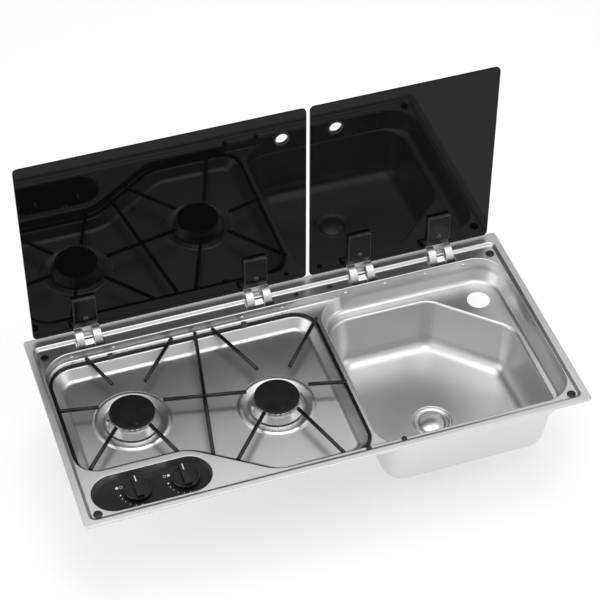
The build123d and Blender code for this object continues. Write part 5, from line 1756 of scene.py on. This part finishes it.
    def build(self) -> None:
        """Build, dress and seat everything that swings with this lid but its arms."""
        body, side = f"{self.side}_lid", self.side
        stand_in(self._glass(), body, "black_glass", f"{side}_glass")
        stand_in(self._finger_ring(), body, "black_moulding", f"{side}_finger_ring")
        for number in self.hinges:
            stand_in(self._clamp(number), body, "black_moulding", f"lid_clamp_{number}")
        stand_in(self._plates(), body, "black_moulding", f"{side}_clamp_plates")
        stand_in(self._screws(), body, "bright_steel", f"{side}_clamp_screws")


@dataclass
class LidArm:
    """Gooseneck arm of one hinge: two curved straps and the channel that grips the glass."""

    number: int
    body: str
    radius: float = 21.0
    sheet: float = 3.0
    strap_width: float = 14.0
    spacing: float = 32.0
    top_angle: float = 74.0
    leg_angle: float = 190.0
    eye: float = 4.6
    pin_hole: float = 3.05
    channel_width: float = 46.0

    # Front, back, foot and top of the channel.
    channel: tuple[float, float, float, float] = (212.3, 220.5, 3.0, 12.0)

    def _strap(self) -> bpy.types.Object:
        """One strap in the plane of its swing, with the pin at the origin.

        Returns:
            The strap.
        """
        outer, inner, half = self.radius + self.sheet / 2, self.radius - self.sheet / 2, self.sheet / 2
        leg = self.leg_angle
        wide = [math.degrees(math.asin(half / r)) for r in (outer, inner, self.eye)]
        outline = arc((0, 0), outer, self.top_angle, leg + wide[0], 26)
        outline += arc((0, 0), self.eye, leg + wide[2], leg + 360 - wide[2], 20)
        outline += arc((0, 0), inner, leg - wide[1], self.top_angle, 26)
        strap = extruded("strap", outline, -self.strap_width / 2, self.strap_width / 2,
                         [Chain.circle(0, 0, self.pin_hole, 20)])
        soften(strap, 0.55)
        return strap

    def _channel(self) -> bpy.types.Object:
        """Channel under the foot of the glass.

        Returns:
            The channel, in the middle of the unit.
        """
        (front, back, foot, top), seat = self.channel, LAYOUT.glass_foot
        inner, outer = LAYOUT.glass_front, LAYOUT.glass_back
        outline = [(front, foot), (back, foot), (back, top), (outer, top), (outer, seat), (inner, seat),
                   (inner, top), (front, top)]
        channel = extruded("channel", outline, -self.channel_width / 2, self.channel_width / 2)
        soften(channel, 0.6)
        return place(channel, ALONG_X)

    def build(self) -> None:
        """Build, dress and seat the arm."""
        straps = [place(self._strap(), shift(side * self.spacing / 2, *LAYOUT.pin) @ ALONG_X)
                  for side in (-1, 1)]
        arm = joined(f"arm_{self.number}", [*straps, self._channel()])
        shade(place(arm, shift(LAYOUT.hinges[self.number - 1], 0, 0)), 40.0)
        stand_in(dress(arm, Finishes.ARM_STEEL), self.body, "arm_steel", f"hinge_arm_{self.number}")


# ---------------------------------------------------------------- small fittings of the deck

@dataclass
class DeckFittings:
    """Rubber bumpers, bracket screws and the parts under the deck that stay as modelled."""

    bumper_height: float = 2.7

    # Share of the bumper's height that its rounded brow takes, and how far its flat top reaches.
    bumper_brow: float = 0.9
    bumper_flat: float = 0.4
    corner_radius: float = 8.0
    corners: Profile = ((-422.0, 175.0), (422.0, 175.0), (-422.0, -196.7), (422.0, -196.7))
    middle_radius: float = 5.0
    middles: Profile = ((48.0, 185.0), (112.0, 185.0), (48.0, -201.0), (112.0, -201.0))
    screw: Profile = ((0.0, -7.0), (2.0, -7.0), (2.0, 0.0), (4.0, 0.0), (3.9, 0.5), (3.4, 1.2),
                      (2.5, 1.85), (1.3, 2.2), (0.0, 2.3))
    screw_recess: tuple[float, float, float, float] = (2.3, 0.6, 0.9, 2.6)
    screw_offset: float = 38.0
    screw_z: float = -17.0

    def _domes(self, name: str, radius: float, where: Sequence[tuple[float, float]]) -> bpy.types.Object:
        """Rubber domes of one size.

        Args:
            name: name of the whole.
            radius: radius of each dome.
            where: their places on the ledge.

        Returns:
            The dressed domes, all in one piece.
        """
        high, brow = self.bumper_height, self.bumper_height * self.bumper_brow
        foot = high * (1 - self.bumper_brow)
        curve = [(radius - brow * (1 - math.cos(a)), foot + brow * math.sin(a))
                 for a in (math.radians(10 * step) for step in range(10))]
        profile = [(0.0, 0.0), (radius, 0.0), *curve, (radius * self.bumper_flat, high), (0.0, high)]
        domes = joined(name, [turned("dome", profile, 40, closed=False)],
                       [shift(*spot, LAYOUT.ledge_z) for spot in where])
        shade(domes, 60.0, weighted=False)
        return dress(domes, Finishes.RUBBER)

    def _screws(self) -> bpy.types.Object:
        """Domed screws in the basin's back wall.

        Returns:
            The dressed screws, all in one piece.
        """
        screw = outward(turned("screw", self.screw, 32, closed=False))
        combine(screw, cross_recess(*self.screw_recess))
        seats = [shift(x + side * self.screw_offset, LAYOUT.basin_back, self.screw_z) @ ALONG_Y
                 for x in LAYOUT.hinges for side in (-1, 1)]
        screws = joined("wall_screws", [screw], seats)
        shade(screws, 40.0, weighted=False)
        return dress(screws, Finishes.WALL_SCREW_STEEL)

    def build(self) -> None:
        """Build, dress and seat the fittings."""
        corners = self._domes("corner_domes", self.corner_radius, self.corners)
        stand_in(corners, "root", "rubber", "corner_bumpers")
        middles = self._domes("middle_domes", self.middle_radius, self.middles)
        stand_in(middles, "root", "rubber", "middle_bumpers")
        stand_in(self._screws(), "root", "bright_steel", "bracket_screws")
        dress_node("bracket_nuts", Finishes.DARK_STEEL_AND_SLOT_SHADE)
        dress_node("hinge_pins", Finishes.BRIGHT_STEEL)
        dress_node("rim_seal", Finishes.RUBBER)
        for number in range(1, len(LAYOUT.hinges) + 1):
            # The brackets' dark finish also paints the shade inside the arm slots.
            dress_node(f"hinge_bracket_{number}", Finishes.DARK_STEEL_AND_SLOT_SHADE)
        for name in ("gas_manifold", "feed_pipe_1", "feed_pipe_2"):
            dress_node(name, Finishes.PIPE)


@dataclass
class WasteFitting:
    """Polished flange in the bowl's floor with its lift-out plug, over the moulded body."""

    # Flange as radius and level above its seat.
    flange: Profile = (
        (34.0, 0.0), (34.0, 1.2), (32.5, 2.4), (29.0, 1.6), (23.4, -3.0), (23.0, -6.0), (23.0, -24.0),
        (24.5, -24.0), (24.5, 0.0))
    flange_bends: tuple[float, ...] = (0.1, 0.6, 0.9, 1.2, 1.4, 1.2, 0.3, 0.1, 0.1)
    plug_radius: float = 22.5
    plug_rim: float = -155.1
    plug_crown: float = 4.0
    plug_roll: float = 0.6

    # Edge of the plug as distance from its radius and from the level of its rim.
    plug_edge: Profile = ((-0.5, -2.0), (0.0, -1.5), (0.0, -0.4))
    dome_steps: int = 12
    stem: float = 3.0
    stem_bevel: float = 0.5
    stem_foot: float = -182.5

    def _flange(self) -> bpy.types.Object:
        """Flange with its rolled bead and throat.

        Returns:
            The dressed flange.
        """
        profile = [(radius, LAYOUT.waste_z + level) for radius, level in self.flange]
        flange = turned("drain_ring", bent_profile(profile, self.flange_bends, 5), 128)
        shade(place(flange, shift(*LAYOUT.waste, 0)), 50.0)
        return dress(flange, Finishes.BRIGHT_STEEL)

    def _plug(self) -> bpy.types.Object:
        """Domed plug with a rolled edge and its stem.

        Returns:
            The dressed plug.
        """
        r, rim, crown = self.plug_radius, self.plug_rim, self.plug_crown
        stem, foot, bevel = self.stem, self.stem_foot, self.stem_bevel
        ball = (r * r + crown * crown) / (2 * crown)
        reaches = [(r - self.plug_roll) * (1 - step / self.dome_steps) for step in range(self.dome_steps + 1)]
        dome = [(reach, rim + crown - ball + math.sqrt(ball * ball - reach * reach)) for reach in reaches]
        edge = [(r + out, rim + up) for out, up in self.plug_edge]
        profile = [(0.0, foot), (stem - bevel, foot), (stem, foot + bevel), (stem, edge[0][1]), *edge, *dome]
        plug = turned("plug", profile, 96, closed=False)
        shade(place(plug, shift(*LAYOUT.waste, 0)), 50.0)
        return dress(plug, Finishes.BRIGHT_STEEL)

    def build(self) -> None:
        """Build, dress and seat the fitting."""
        stand_in(self._flange(), "root", "bright_steel", "waste_flange")
        stand_in(self._plug(), "waste_plug", "bright_steel", "waste_plug")
        dress_node("waste_gasket", Finishes.RUBBER)
        dress_node("waste_body", Finishes.WASTE_PLASTIC)


# ---------------------------------------------------------------- studio

@dataclass
class Studio:
    """Camera, lamps, pale floor and white surroundings."""

    azimuth: float = -18.51
    elevation: float = 44.785
    lens: float = 125.16
    offset: tuple[float, float, float] = (6.736, -122.216, 3640.837)
    floor_z: float = -0.2215
    floor_half: float = 6000.0
    floor_corner: float = 800.0
    floor_grey: float = 0.70
    floor_glow: float = 0.44
    ambient: float = 0.48

    def camera(self) -> None:
        """Camera of the photograph."""
        a, e = math.radians(self.azimuth), math.radians(self.elevation)
        right = Vector((math.cos(a), math.sin(a), 0))
        back = Vector((math.sin(a) * math.cos(e), -math.cos(a) * math.cos(e), math.sin(e)))
        turn = Matrix((right, back.cross(right), back)).transposed()
        x, y, z = self.offset
        data = bpy.data.cameras.new("camera")
        data.sensor_width = 36.0
        data.sensor_fit = "HORIZONTAL"
        data.lens = self.lens
        data.clip_end = 100.0
        camera = linked("camera", data)
        camera.matrix_world = Matrix.Translation(-(turn @ Vector((x, y, -z))) * MM) @ turn.to_4x4()
        bpy.context.scene.camera = camera

    def lamp(self, name: str, where: tuple[float, float, float], at: tuple[float, float, float],
             size: tuple[float, float], power: float) -> None:
        """Soft box that faces a point.

        Args:
            name: name of the lamp.
            where: its place in metres.
            at: the point it faces, in metres.
            size: its width and height in metres.
            power: its power in watts.
        """
        data = bpy.data.lights.new(name, "AREA")
        data.shape = "RECTANGLE"
        data.size, data.size_y = size
        data.energy = power
        lamp = linked(name, data)
        lamp.location = where
        lamp.rotation_euler = (Vector(at) - Vector(where)).to_track_quat("-Z", "Y").to_euler()

    def floor(self) -> None:
        """Pale floor that keeps the shadow and shows white where nothing shades it."""
        builder, half = MeshBuilder(), self.floor_half
        plate = Chain.rectangle(-half, half, -half, half, self.floor_corner, 8)
        builder.fill(plate.ring(0, self.floor_z / MM))
        floor = builder.build("floor")
        made, shader = principled("pale_floor", {
            "Base Color": (*[self.floor_grey] * 3, 1.0), "Roughness": 0.8, "Specular IOR Level": 0.1,
            "Emission Color": (1.0, 1.0, 1.0, 1.0)})
        tree, link = made.node_tree, made.node_tree.links.new
        path = add_node(tree, "ShaderNodeLightPath")
        straight = add_node(tree, "ShaderNodeMath", operation="MAXIMUM")
        seen = add_node(tree, "ShaderNodeMath", operation="MAXIMUM")
        glow = add_node(tree, "ShaderNodeMath", {1: self.floor_glow}, operation="MULTIPLY")
        link(path.outputs["Is Camera Ray"], straight.inputs[0])
        link(path.outputs["Is Transmission Ray"], straight.inputs[1])
        link(straight.outputs[0], seen.inputs[0])
        link(path.outputs["Is Glossy Ray"], seen.inputs[1])
        link(seen.outputs[0], glow.inputs[0])
        link(glow.outputs[0], shader.inputs["Emission Strength"])
        floor.data.materials.append(made)

    def surroundings(self) -> None:
        """Even grey light from all around."""
        world = bpy.data.worlds.new("surroundings")
        bpy.context.scene.world = world
        world.use_nodes = True
        background = world.node_tree.nodes["Background"]
        background.inputs["Color"].default_value = (1.0, 1.0, 1.0, 1.0)
        background.inputs["Strength"].default_value = self.ambient

    def build(self) -> None:
        """Set the whole studio up."""
        bpy.context.scene.view_settings.view_transform = "Standard"
        self.camera()
        self.floor()
        self.surroundings()
        self.lamp("overhead", (0.2, -0.05, 2.3), (0.0, 0.0, 0.0), (2.8, 2.0), 29.0)
        self.lamp("window", (-2.4, -0.4, 1.3), (0.0, 0.0, 0.0), (1.8, 2.4), 16.0)
        self.lamp("fill", (2.0, -1.8, 1.1), (0.1, 0.0, 0.0), (1.4, 1.6), 9.0)


def main() -> None:
    """Build every sub-assembly and report each piece."""
    logging.basicConfig(level=logging.INFO, format="%(name)s: %(message)s")
    Studio().build()
    SteelDeck().build()
    PanSupport().build()
    for number in (1, 2):
        Burner(number).build()
    Controls().build()
    Lid("left", -431.5, 76.5, 32.0, (1, 2)).build()
    Lid("right", 83.0, 431.0, 129.0, (3, 4)).build()
    for number, body in enumerate(("left_lid", "left_lid", "right_lid", "right_lid"), start=1):
        LidArm(number, body).build()
    WasteFitting().build()
    DeckFittings().build()


if __name__ == "__main__":
    main()
